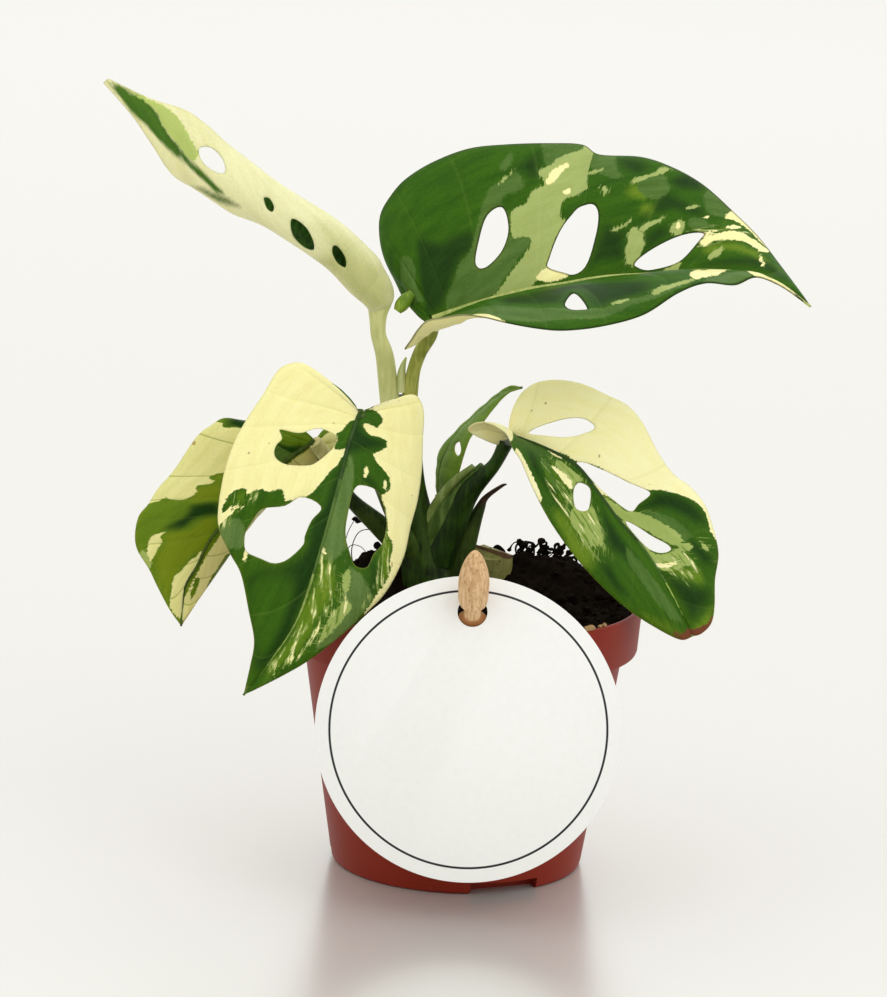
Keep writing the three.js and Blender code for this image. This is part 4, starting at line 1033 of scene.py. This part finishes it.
LEAF_LEFT = {
    "midrib": [[-26, -1, 71.5], [-31, -3, 68], [-36, -6, 62.5], [-42, -8, 56.5], [-44.5, -9, 51.5],
               [-46.5, -9.5, 47.5], [-47, -9, 41]],
    "left": [[-26, -1, 71.5, 0], [-24.5, 2, 73, 0], [-22.5, 5, 72, 0], [-21.5, 7, 69.5, 0.03],
             [-23, 8, 66.5, 0.08], [-25.5, 8, 64, 0.15], [-29, 7, 62.5, 0.25], [-32.5, 5, 60.5, 0.35],
             [-34.5, 4, 58.5, 0.42], [-37, 1, 55.5, 0.55], [-39.5, -2, 52, 0.68], [-42, -5, 48.5, 0.8],
             [-44.5, -8, 45, 0.92], [-47, -9, 41, 1]],
    "right": [[-26.5, -1, 71.5, 0], [-28.5, -0.5, 73.5, 0], [-32.5, 0, 74.5, 0],
              [-37.5, -1, 74.5, 0.02], [-41, -2, 75, 0.05], [-43, -3, 74, 0.08], [-45.5, -4, 72, 0.12],
              [-49, -5, 66.5, 0.2], [-51.5, -6, 63.5, 0.27], [-53, -7, 61, 0.33],
              [-54.5, -7.5, 59, 0.38], [-55, -8, 56, 0.45], [-54.5, -8.5, 53.5, 0.52],
              [-52.5, -9, 50.5, 0.62], [-51, -9, 47.5, 0.73], [-49, -9.5, 44, 0.87], [-47, -9, 41, 1]],
    "petiole": [[-26, -1, 71.5, 1.1], [-23.5, 1, 67, 1.1], [-20, 4, 61, 1.2], [-15, 6.5, 56, 1.8],
                [-10, 8.5, 51, 2.2]],
    "stalk": ((66, 88, 34), (30, 46, 16)), "rib": 0.5,
    "sheaths": [
        ([(-26, -1.4, 71.4, 1.2), (-24, 0.2, 68.6, 1.3), (-22, 2, 65, 1.3), (-20.6, 3.2, 62.6, 0.9)],
         (206, 198, 140), (180, 174, 112)),
    ],
    "colours": {"green": (84, 116, 16), "green_2": (104, 132, 24), "olive": (110, 130, 12),
                "olive_2": (120, 138, 22), "cream": (228, 224, 158), "cream_2": (214, 212, 138),
                "cream_vein": 0.6, "cream_line": (128, 146, 40)},
    "rib_tones": [(1, (72, 92, 22), (50, 68, 14))],
}
LEAF_LEFT["right_marks"] = [
    ("deep", [(163, 528), (175, 520), (183, 515), (190, 505), (200, 503), (217, 501), (225, 505),
        (220, 516), (205, 518), (195, 521), (188, 527), (178, 531), (165, 531)]),
    ("deep", [(225, 420), (247, 420), (262, 428), (275, 440), (290, 445), (300, 440), (312, 440),
        (300, 450), (283, 462), (262, 482), (240, 506), (222, 520), (222, 505), (224, 490),
        (232, 478), (244, 470), (252, 455), (256, 440), (248, 432), (236, 429), (224, 428)]),
    ("grey", [(270, 455), (276, 445), (286, 450), (296, 455), (284, 463), (276, 462)]),
    ("olive", [(184, 501), (192, 497), (197, 488), (211, 485), (214, 480), (222, 472), (222, 500),
        (205, 502), (195, 503)]),
    ("olive", [(164, 534), (180, 531), (190, 529), (200, 521), (218, 515), (215, 529), (208, 541),
        (200, 552), (192, 556), (185, 565), (178, 573), (172, 585), (170, 600), (165, 598),
        (158, 580), (155, 567), (155, 556), (162, 546)]),
    ("cream", [(214, 424), (222, 423), (224, 428), (243, 429), (250, 436), (246, 452), (236, 468),
        (221, 473), (215, 474), (209, 478), (213, 481), (212, 484), (205, 485), (196, 487),
        (197, 491), (192, 496), (184, 500), (175, 500), (165, 498), (160, 501), (148, 505),
        (144, 502), (151, 489), (159, 485), (171, 473), (177, 460), (186, 447), (197, 435)]),
    ("cream", [(151, 537), (159, 533), (168, 531), (161, 536), (162, 543), (156, 552), (152, 562),
        (149, 557), (148, 545)]),
    ("pale", [(141, 551), (147, 552), (152, 563), (150, 571), (144, 562)]),
    ("cream", [(202, 551), (196, 556), (188, 562), (181, 571), (175, 576), (173, 583), (172, 592),
        (170, 602), (173, 612), (179, 619), (182, 612), (183, 600), (187, 590), (192, 580),
        (198, 566)]),
]
LEAF_LEFT["left_marks"] = [
    ("cream", [(318, 440), (330, 432), (345, 436), (348, 446), (340, 462), (322, 477), (300, 488),
        (278, 501), (264, 513), (249, 534), (232, 558), (217, 582), (198, 605), (184, 624),
        (181, 618), (183, 604), (187, 592), (193, 580), (200, 566), (208, 552), (216, 540),
        (232, 520), (252, 502), (270, 482), (285, 466), (300, 454)]),
    ("-cream", [(224, 556), (232, 551), (226, 566), (214, 582), (204, 594), (208, 582), (216, 568)]),
    ("-cream", [(196, 578), (199, 580), (194, 594), (190, 600), (191, 590)]),
    ("olive", [(184, 620), (183, 606), (190, 604), (198, 598), (192, 610)]),
]
flat_leaf("left_leaf", "leaf_left_blade", "leaf_left", LEAF_LEFT)

LEAF_RIGHT = {
    "midrib": [[6.5, 2, 73], [12.5, -1, 71.5], [17.5, -4, 69.5], [21, -7, 66], [24.5, -9.5, 62],
               [29, -12, 57.5], [33, -14, 52], [37.5, -16, 44]],
    "left": [[6.5, 2, 73, 0], [6.5, 3, 75, 0], [7, 4, 77.5, 0], [8.5, 5, 80, 0.01],
             [11, 6, 81.5, 0.04], [14.5, 6, 82, 0.08], [18.5, 5.5, 81.5, 0.13], [22.5, 4.5, 80, 0.19],
             [26, 3.5, 78.5, 0.25], [28.5, 2, 76, 0.31], [31.5, 0, 71, 0.4], [34, -1.5, 68, 0.47],
             [36.5, -3, 66.5, 0.53], [39, -5, 64, 0.6], [40.5, -7, 60.5, 0.67], [41.5, -9, 56.5, 0.74],
             [41, -11, 52.5, 0.81], [41, -13, 48.5, 0.89], [40.5, -14.5, 46, 0.95],
             [39, -15.5, 44.5, 0.985], [37.5, -16, 44, 1]],
    "right": [[5.5, 2, 72, 0], [4.5, 1.5, 71.5, 0], [2, 0.5, 72.5, 0], [-0.5, 0, 74, 0],
              [0.5, -1.5, 75.5, 0], [2.5, -3, 76, 0], [4.5, -4.5, 75.5, 0], [6, -5.5, 74.5, 0.01],
              [7, -6.5, 72.5, 0.04], [8.5, -8, 70.5, 0.08], [10.5, -10, 66.5, 0.16],
              [13.5, -12, 61.5, 0.26], [17.5, -14, 56.5, 0.38], [22, -15.5, 52, 0.5],
              [27, -16.5, 48, 0.64], [32, -16.5, 45, 0.8], [35.5, -16.5, 43.5, 0.93],
              [37.5, -16, 44, 1]],
    "left_holes": [
        [[0.233, 0.12], [0.29, 0.34], [0.343, 0.53], [0.38, 0.53], [0.39, 0.43], [0.338, 0.21]],
        [[0.427, 0.03], [0.47, 0.16], [0.51, 0.31], [0.588, 0.51], [0.615, 0.29], [0.625, 0.16],
         [0.57, 0.09], [0.485, 0.03]],
        [[0.647, 0.05], [0.698, 0.18], [0.738, 0.33], [0.748, 0.16], [0.723, 0.04]],
    ],
    "right_holes": [
        [[0.682, 0.17], [0.713, 0.08], [0.718, 0.34], [0.69, 0.51], [0.675, 0.36]],
    ],
    "petiole": [[6, 2, 72, 1.3], [4, 3.5, 67.5, 1.15], [0, 6, 62.5, 2], [-2.5, 7.5, 57, 2.6],
                [-5, 8.5, 50, 3.2]],
    "stalk": ((46, 76, 16), (22, 42, 8)), "rib": 0.5,
    "left_veins": [0, 0.2, 0.36, 0.52, 0.7, 0.85, 1],
    "colours": {"cream": (252, 246, 194), "cream_2": (248, 239, 172), "vein": 0.07,
                "cream_vein": 0.1, "fleck": 1.8, "grey": (62, 98, 30), "grey_2": (84, 118, 50)},
    "rib_tones": [(0.68, (50, 78, 24), (36, 60, 16)), (0.85, (84, 116, 48), (60, 90, 30)),
                  (1, (156, 180, 80), (124, 150, 56))],
    "sheaths": [
        ([(-6, 8.6, 52, 2.6), (-4.6, 7.7, 57, 2.3), (-1.4, 6.6, 62, 1.7), (1.2, 5.4, 65.8, 1),
          (2, 4.8, 67.4, 0.4)], (112, 136, 66), (60, 88, 30)),
        ([(-6.9, 7.4, 56, 0.9), (-5.4, 6.6, 60, 0.8), (-2.6, 5.8, 64, 0.7), (0.6, 4.9, 67, 0.5)],
         (150, 166, 100), (110, 132, 62)),
    ],
    "right_turned_away": [
        ("cream", [[-0.02, -0.08], [0.3, -0.08], [0.38, 0.05], [0.41, 0.4], [0.43, 1.08], [0.2, 1.1],
                   [-0.02, 1.08]]),
    ],
}
LEAF_RIGHT["left_marks"] = [
    ("deep", [(652, 493), (665, 492), (680, 496), (692, 503), (701, 512), (706, 524), (695, 524),
        (680, 516), (665, 511), (650, 512), (640, 511), (630, 510), (641, 503), (650, 496)]),
    ("deep", [(664, 572), (675, 577), (690, 583), (704, 586), (712, 590), (709, 606), (700, 615),
        (690, 620), (684, 608), (676, 596), (668, 584)]),
    ("deep", [(690, 538), (700, 545), (712, 556), (714, 566), (703, 566), (694, 556), (688, 548)]),
    ("grey", [(640, 513), (655, 513), (670, 518), (682, 526), (692, 537), (682, 540), (670, 529),
        (655, 521)]),
    ("pale", [(597, 490), (606, 498), (616, 504), (625, 510), (637, 513), (650, 517), (660, 522),
        (670, 528), (679, 535), (682, 541), (679, 546), (671, 545), (660, 539), (648, 532),
        (636, 526), (625, 521), (618, 516), (610, 508), (603, 500)]),
    ("pale", [(622, 520), (630, 535), (640, 546), (650, 559), (660, 569), (670, 572), (678, 570),
        (682, 566), (689, 567), (690, 562), (683, 556), (676, 550), (668, 553), (658, 555),
        (648, 549), (636, 537), (628, 527)]),
    ("pale", [(676, 547), (684, 543), (693, 546), (688, 551), (680, 550)]),
    ("pale", [(700, 542), (706, 546), (708, 552), (703, 549)]),
    ("olive", [(672, 573), (678, 570), (690, 566), (699, 570), (704, 582), (697, 586), (690, 581),
        (680, 577)]),
    ("olive", [(576, 466), (588, 473), (600, 482), (610, 494), (614, 501), (606, 499), (596, 489),
        (584, 477)]),
    ("olive", [(684, 636), (692, 628), (700, 618), (712, 606), (712, 616), (708, 628), (698, 634)]),
    ("cream", [(509, 436), (510, 420), (513, 406), (523, 390), (539, 382), (560, 379), (584, 383),
        (608, 393), (630, 407), (646, 424), (662, 455), (676, 474), (693, 485), (706, 503),
        (715, 526), (717, 541), (712, 536), (709, 525), (705, 514), (699, 506), (691, 500),
        (681, 496), (670, 493), (660, 491), (650, 491), (640, 488), (620, 478), (600, 468),
        (580, 463), (572, 459), (560, 453), (545, 448), (530, 441), (520, 438)]),
    ("cream", [(590, 481), (596, 483), (603, 489), (609, 497), (603, 495), (596, 488)]),
    ("cream", [(655, 563), (668, 564), (680, 560), (672, 567), (662, 568)]),
    ("brown", [(676, 641), (687, 642), (697, 639), (708, 634), (714, 624), (712, 616), (707, 623),
        (697, 628), (688, 630), (681, 633)]),
    ("marble", [(655, 556), (680, 546), (694, 558), (696, 575), (688, 585), (676, 577), (664, 570)]),
]
LEAF_RIGHT["right_marks"] = [
    ("deep", [(526, 452), (534, 453), (540, 465), (546, 480), (554, 482), (558, 492), (566, 503),
        (561, 514), (551, 500), (541, 485), (531, 470)]),
    ("deep", [(601, 500), (606, 514), (616, 529), (628, 546), (640, 562), (650, 577), (640, 577),
        (625, 562), (612, 552), (606, 542), (602, 525)]),
    ("deep", [(600, 560), (612, 565), (620, 580), (630, 596), (620, 596), (608, 582), (600, 570)]),
    ("grey", [(540, 462), (548, 464), (552, 474), (560, 488), (556, 490), (546, 478)]),
    ("grey", [(626, 548), (640, 562), (655, 582), (670, 602), (682, 622), (672, 620), (655, 600),
        (638, 578), (628, 562)]),
    ("pale", [(556, 461), (566, 466), (576, 475), (584, 480), (577, 483), (573, 490), (566, 480),
        (557, 470)]),
    ("pale", [(573, 508), (592, 507), (598, 520), (603, 538), (600, 546), (590, 546), (580, 536),
        (571, 522)]),
    ("olive", [(556, 506), (570, 520), (580, 538), (592, 548), (596, 562), (590, 570), (576, 556),
        (562, 534), (552, 516)]),
    ("olive", [(640, 612), (660, 620), (680, 630), (684, 636), (668, 631), (650, 622)]),
    ("cream", [(551, 467), (558, 470), (565, 475), (571, 482), (573, 491), (567, 487), (560, 478)]),
    ("cream", [(545, 449), (556, 453), (568, 460), (560, 459), (550, 454)]),
    ("cream", [(516, 449), (523, 458), (530, 472), (537, 488), (541, 500), (536, 494), (529, 478),
        (521, 462), (514, 453)]),
    ("brown", [(668, 634), (676, 637), (688, 642), (697, 640), (692, 629), (684, 633), (677, 632)]),
    ("marble", [(540, 456), (556, 462), (572, 475), (576, 484), (574, 505), (592, 507), (600, 520),
        (606, 545), (602, 562), (590, 556), (578, 540), (568, 522), (556, 506), (548, 488)]),
]
flat_leaf("right_leaf", "leaf_right_blade", "leaf_right", LEAF_RIGHT)

LEAF_SMALL = {
    "midrib": [[-5, 11, 60], [-5, 11.5, 65], [-3, 12, 70], [0.5, 12.5, 74], [5, 12.5, 78], [8.5, 12, 79.5]],
    "left": [[-5, 11, 60, 0], [-5.5, 12, 61.5, 0.03], [-5.5, 13, 65, 0.15], [-5, 14, 68, 0.3],
             [-2, 14.5, 71.5, 0.5], [1.5, 14.5, 75, 0.7], [4.5, 14, 78, 0.85], [6.5, 13, 79.5, 0.93],
             [8.5, 12, 79.5, 1]],
    "right": [[-4.5, 11, 59.5, 0], [-3.5, 9, 61, 0.05], [-2, 7.5, 64.5, 0.18], [-1, 7, 68.5, 0.33],
              [0, 7, 71.5, 0.5], [2, 8, 74, 0.65], [4, 9.5, 76.5, 0.8], [6, 11, 78.5, 0.92],
              [8.5, 12, 79.5, 1]],
    "right_holes": [
        [[0.415, 0.44], [0.435, 0.6], [0.41, 0.8], [0.375, 0.84], [0.36, 0.74], [0.383, 0.5]],
    ],
    "petiole": [[-5, 11, 60.5, 0.65], [-5, 12, 57, 0.65], [-5, 13.8, 51.5, 0.7], [-5, 12, 45, 0.8]],
    "stalk": ((110, 140, 50), (70, 100, 30)),
    "rib": 0.35,
    "colours": {"green": (96, 130, 40), "green_2": (120, 152, 60), "under": (150, 170, 90)},
}
flat_leaf("small_leaf", "leaf_small_blade", "leaf_small", LEAF_SMALL)

# Rolled leaf
# The youngest leaf is still rolled round its midrib and only its tip has opened. Its outside is the
# lower face. A station is a midrib point, then the width, the starting direction and the turn in
# degrees of the upper half and of the lower half; 0 leads up and 90 towards -Y.
STATIONS = [
    [-17.4, 5, 92.3, 4, 85, 180, 2.6, -95, -105], [-18.2, 5, 93.7, 9, 85, 186, 6, -95, -128],
    [-21, 5, 96, 11.6, 85, 190, 8.4, -95, -140], [-24.5, 5, 99.5, 11.6, 85, 190, 8.4, -95, -140],
    [-28.5, 5, 102.3, 12, 85, 190, 8.6, -95, -140], [-34.5, 5, 106, 11.4, 85, 186, 8, -106, -134],
    [-40, 4, 109.5, 10.6, 70, 165, 7, -150, -120], [-46, 3, 115, 7.7, 45, 112, 5.8, -158, -55],
    [-49.5, 2.5, 118.3, 6.7, 28, 64, 4.2, -165, -30], [-53, 2, 121.2, 6, 20, 40, 2.3, -165, -20],
    [-57, 1.5, 124.8, 3.6, 15, 20, 0.8, -170, -15], [-62, 1, 130, 0.6, 10, 10, 0.5, -170, -10],
]
ROLL_HOLES = [
    [[0.697, 0.45], [0.673, 0.62], [0.637, 0.62], [0.613, 0.47], [0.613, 0.34], [0.64, 0.24],
     [0.677, 0.3]],
    [[0.517, 0.5], [0.503, 0.54], [0.483, 0.48], [0.48, 0.4], [0.497, 0.4]],
    [[0.43, 0.45], [0.42, 0.5], [0.393, 0.47], [0.363, 0.35], [0.353, 0.24], [0.377, 0.16],
     [0.407, 0.25]],
    [[0.313, 0.47], [0.3, 0.51], [0.267, 0.46], [0.25, 0.36], [0.27, 0.32], [0.3, 0.38]],
]
ROLL_MARKS = [
    ("deep", [(103, 79), (112, 85), (125, 91), (128, 97), (135, 99), (145, 103), (153, 110),
        (158, 117), (159, 122), (164, 129), (170, 137), (177, 146), (184, 155), (191, 164),
        (200, 173), (211, 183), (221, 192), (216, 191), (205, 182), (196, 174), (186, 164),
        (172, 151), (160, 140), (152, 132), (145, 124), (137, 118), (130, 110), (121, 99), (111, 88)]),
    ("pale", [(128, 95), (140, 96), (150, 99), (160, 103), (170, 109), (180, 118), (188, 130),
        (193, 140), (195, 150), (199, 153), (194, 161), (187, 158), (178, 147), (170, 137),
        (163, 127), (160, 121), (158, 115), (150, 107), (140, 100)]),
    ("grey", [(322, 226), (340, 236), (356, 246), (374, 262), (392, 282), (398, 294), (394, 306),
        (384, 312), (366, 312), (356, 300), (344, 286), (332, 272), (320, 262), (330, 250)]),
    ("olive", [(190, 186), (200, 187), (212, 191), (222, 195), (234, 202), (240, 208), (225, 206),
        (210, 203), (198, 196)]),
]
ROLL_STALK = [
    [-16.6, 5, 96.4, 2.6], [-16.2, 5, 95.2, 2.5], [-16.1, 5, 94, 2.1], [-16.2, 5, 92.4, 1.6],
    [-16.2, 5.2, 90.5, 1.35], [-16, 5.5, 88.5, 1.3], [-15, 6, 85.5, 1.5], [-14.5, 6.5, 82.5, 1.6],
    [-13.5, 7, 75, 1.7],
]
BASAL_LOBE = [
    [-10.7, 5.8, 95.9, 0.7], [-11.6, 5.3, 94.9, 1.1], [-12.4, 5.1, 93.8, 1.15], [-13, 5, 92.9, 0.7],
]


class RolledBlade:
    """The sheet of the rolled leaf: w runs from its base to its tip, v from -1 to 1 across it."""

    hand, across, overlap = -1, (-1, 1), 1.5

    def __init__(self, stations):
        self.stations = stations
        line = along(stations, np.linspace(0, 1, 200))[:, :3]
        self.length = np.linalg.norm(np.diff(line, axis=0), axis=1).sum()

    def low(self, w):
        return -along(self.stations, w)[:, 6]

    def high(self, w):
        return along(self.stations, w)[:, 3]

    def place(self, w, v):
        row = along(self.stations, w)
        ahead = along(self.stations, np.minimum(w + 0.01, 1))[:, :3]
        forward = ahead - along(self.stations, np.maximum(w - 0.01, 0))[:, :3]
        forward /= np.linalg.norm(forward, axis=1)[:, None]
        front = np.array([[0.0, -1.0, 0.0]]) + forward * forward[:, 1:2]
        front /= np.linalg.norm(front, axis=1)[:, None]
        rise = np.cross(forward, front)
        half = np.where((v > 0)[:, None], row[:, 3:6], row[:, 6:9])
        start, bend = np.radians(half[:, 1]), np.radians(half[:, 2])
        end = start - bend * np.abs(v)
        size = (half[:, 0] / bend)[:, None]
        lift, push = np.sin(start) - np.sin(end), np.cos(end) - np.cos(start)
        spot = row[:, :3] + size * (rise * lift[:, None] + front * push[:, None])
        side = np.sign(v + 1e-9)
        outward = (rise * -np.sin(end)[:, None] + front * np.cos(end)[:, None]) * side[:, None]
        return spot, outward

    def flat(self, w, v):
        row = along(self.stations, w)
        return np.stack([w * self.length, v * np.where(v > 0, row[:, 3], row[:, 6])], axis=1)

    def shares(self, plan):
        w = np.clip(plan[:, 0] / self.length, 0, 1)
        row = along(self.stations, w)
        return w, plan[:, 1] / np.where(plan[:, 1] > 0, row[:, 3], row[:, 6])


roll = RolledBlade(STATIONS)
ROLL_TONES = {
    "green": (244, 241, 192), "green_2": (230, 227, 172), "line": (214, 214, 150), "olive": (88, 112, 54),
    "olive_2": (106, 128, 72), "grey": (196, 196, 134), "grey_2": (182, 186, 122),
    "pale": (190, 206, 122), "pale_2": (176, 196, 108), "deep": (58, 100, 26), "deep_2": (80, 122, 40),
    "soft": 0.2, "blend": 2.6, "vein": 0.02,
}
roll_outside = blade_finish("rolled_leaf_outside", {**GREENS, **ROLL_TONES})
roll_inside = stalk_finish("rolled_leaf_inside", (86, 132, 44), (48, 88, 22))
marks = marks_on(roll, ROLL_MARKS)
skin = blade_sheet("rolled_leaf_blade", roll, ROLL_HOLES, marks, np.linspace(0, 1, 9), 0.05)
thicken(skin, roll_outside, roll_inside)
stalk = strand("rolled_leaf_petiole", along(ROLL_STALK, np.linspace(0, 1, 50)), 6)
dress(stalk, stalk_finish("rolled_leaf_stalk", (212, 213, 146), (190, 194, 124)))
lobe = strand("rolled_leaf_lobe", along(BASAL_LOBE, np.linspace(0, 1, 24)), 6)
dress(lobe, stalk_finish("rolled_leaf_lobe", (146, 172, 62), (96, 128, 34)))
rolled = only(skin, stalk, lobe)
bpy.ops.object.join()
rolled.name = rolled.data.name = "rolled_leaf"
settle(rolled, "leaf_new_blade", "leaf_new")

# Card
# A round white card leans on the pot's rim, held through its hole by the peg. It was punched from
# stiff board, with a thin ring printed near its edge.
CARD_RADIUS, CARD_THICK, CARD_HOLE, CARD_HOLE_UP, CARD_LEAN = 24.65, 0.8, 2.4, 18.9, 10
CARD_CENTRE = (1.1, -33.1, 31.5)
RING_RADIUS, RING_WIDTH, RING_BLUR = 22.3, 0.36, 0.05
half = CARD_THICK / 2
card = turned(
    "round_card",
    [(CARD_RADIUS - 0.12, -half), (CARD_RADIUS, -half + 0.1), (CARD_RADIUS, half - 0.1),
     (CARD_RADIUS - 0.12, half)],
    192,
)
bpy.ops.mesh.primitive_cylinder_add(
    vertices=64, radius=CARD_HOLE * MM, depth=4 * MM, location=(0, CARD_HOLE_UP * MM, 0)
)
hole = bpy.context.object
bpy.ops.object.transform_apply(location=True, rotation=True, scale=True)
cut_away(card, hole)
lean = math.radians(90 - CARD_LEAN)
card.data.transform(Matrix.Translation(Vector(CARD_CENTRE) * MM) @ Matrix.Rotation(lean, 4, "X"))
soften(card, 40)

paper = Finish("white_card", Roughness=0.6, Specular_IOR_Level=0.3)
at = paper.place()
centred = paper.node(
    "ShaderNodeMapping", {"vector_type": "TEXTURE"}, at, Vector(CARD_CENTRE) * MM, (lean, 0, 0), None
)
flat_place = paper.scaled(centred, 1, 1, 0)
from_middle = paper.node("ShaderNodeVectorMath", {"operation": "LENGTH"}, flat_place, output=1)
off_line = paper.node("ShaderNodeMath", {"operation": "ABSOLUTE"}, from_middle - RING_RADIUS * MM)
line_edge = RING_WIDTH / 2
ink = 1 - paper.step(off_line, (line_edge - RING_BLUR) * MM, (line_edge + RING_BLUR) * MM)
pulp = paper.noise(at, 900, 4, 0.6)
white = paper.mix(pulp, tone(239, 240, 236), tone(246, 246, 243))
card_finish = paper.feed(
    Base_Color=paper.mix(ink, white, tone(30, 32, 34)), Normal=paper.bump(pulp, 0.15, 0.05)
)
dress(card, card_finish)
settle(card, "card_white", "card")

# Peg
# A peg of pale turned wood with a head like an acorn. Its neck stands in the card's hole, it widens
# behind the card, and its point is pushed into the peat.
PEG_TILT, PEG_THROUGH, PEG_SPREAD = 38, (1.1, -29.8, 50.1), 0.64
PEG_PROFILE = [
    (0.1, -25), (0.9, -24), (1.35, -21), (1.35, -5.4), (1.35, -4.4), (1.35, -3.4), (1.35, -2.4),
    (1.35, -1.6), (1.35, -1.1), (1.35, -0.75), (1.35, -0.6), (1.38, 1.7), (1.6, 2.1), (2, 2.45),
    (2.25, 2.75), (2.36, 3.3), (2.44, 5.1), (2.5, 7.3), (2.42, 8.8), (2.2, 10.3), (1.94, 11.5),
    (1.62, 12.6), (1.32, 13.5), (0.98, 14.3), (0.58, 14.95), (0.1, 15.3),
]
peg = turned("wooden_peg", PEG_PROFILE, 48)
for vertex in peg.data.vertices:
    up = vertex.co.z / MM
    vertex.co.x *= 1 + PEG_SPREAD * smooth(up, -5.2, -4) * (1 - smooth(up, -1.05, -0.65))
tip_over = Matrix.Rotation(math.radians(PEG_TILT), 4, "X")
peg.data.transform(Matrix.Translation(Vector(PEG_THROUGH) * MM) @ tip_over)
soften(peg, 60)

wood = Finish("pale_turned_wood", Roughness=0.62, Specular_IOR_Level=0.3)
at = wood.place()
turned_place = wood.node(
    "ShaderNodeMapping", {"vector_type": "TEXTURE"}, at, Vector(PEG_THROUGH) * MM,
    (math.radians(PEG_TILT), 0, 0), None,
)
grain = wood.noise(wood.scaled(turned_place, 2400, 2400, 210), 1, 4, 0.6)
pores = wood.noise(wood.scaled(turned_place, 3600, 3600, 900), 1, 2, 0.5)
tan = wood.mix(wood.step(grain, 0.35, 0.65), tone(200, 158, 110), tone(230, 194, 148))
tan = wood.mix(wood.step(pores, 0.57, 0.64) * 0.6, tan, tone(160, 112, 74))
# Below the card's hole the peg, down to its point, is painted a darker brown: painted shade, for the
# shadowed wood seen through the hole behind the card.
up_axis = wood.node("ShaderNodeSeparateXYZ", {}, turned_place, output=2)
tan = wood.mix((1 - wood.step(up_axis, -0.8 * MM, -0.5 * MM)) * 0.9, tan, tone(168, 112, 64))
peg_finish = wood.feed(Base_Color=tan, Normal=wood.bump(grain + pores, 0.4, 0.08))
dress(peg, peg_finish)
settle(peg, "peg_wood", "peg")

# Floor, light and camera
# A pale table under soft studio light, seen a little from above by a long lens.
bpy.ops.mesh.primitive_plane_add(size=14, location=(0, 4, 0))
floor = bpy.context.object
floor.name = "pale_table"
table = Finish("pale_table_top", Roughness=0.25, Metallic=0.4)
table.shader.inputs["Base Color"].default_value = tone(230, 229, 224)
dress(floor, table.material)

world = bpy.data.worlds.new("soft_room")
bpy.context.scene.world = world
world.use_nodes = True
world.node_tree.nodes["Background"].inputs["Color"].default_value = (1, 0.995, 0.975, 1)
world.node_tree.nodes["Background"].inputs["Strength"].default_value = 0.96


def soft_light(name, place, aim, size, power):
    data = bpy.data.lights.new(name, "AREA")
    data.shape, data.size, data.energy = "SQUARE", size, power
    lamp = bpy.data.objects.new(name, data)
    bpy.context.collection.objects.link(lamp)
    lamp.location = place
    lamp.rotation_euler = (Vector(aim) - Vector(place)).to_track_quat("-Z", "Y").to_euler()


soft_light("key_light", (0.6, -0.9, 0.9), (0, 0, 0.06), 0.7, 3)
soft_light("fill_light", (-0.8, -0.6, 0.6), (0, 0, 0.06), 0.8, 0.6)
soft_light("backdrop_light", (0, 1.6, 1.4), (0, 1.6, 0), 2, 11)

SENSOR = 36
bpy.ops.object.camera_add(location=Vector(CAMERA_AT) * MM)
camera = bpy.context.object
camera.name = "photo_view"
camera.rotation_euler = looking.to_euler()
camera.data.lens = FOCAL_PIXELS / PHOTO_HEIGHT * SENSOR
camera.data.sensor_width = SENSOR
camera.data.clip_start = 0.01
camera.data.clip_end = 50
bpy.context.scene.camera = camera
bpy.context.scene.view_settings.view_transform = "Standard"
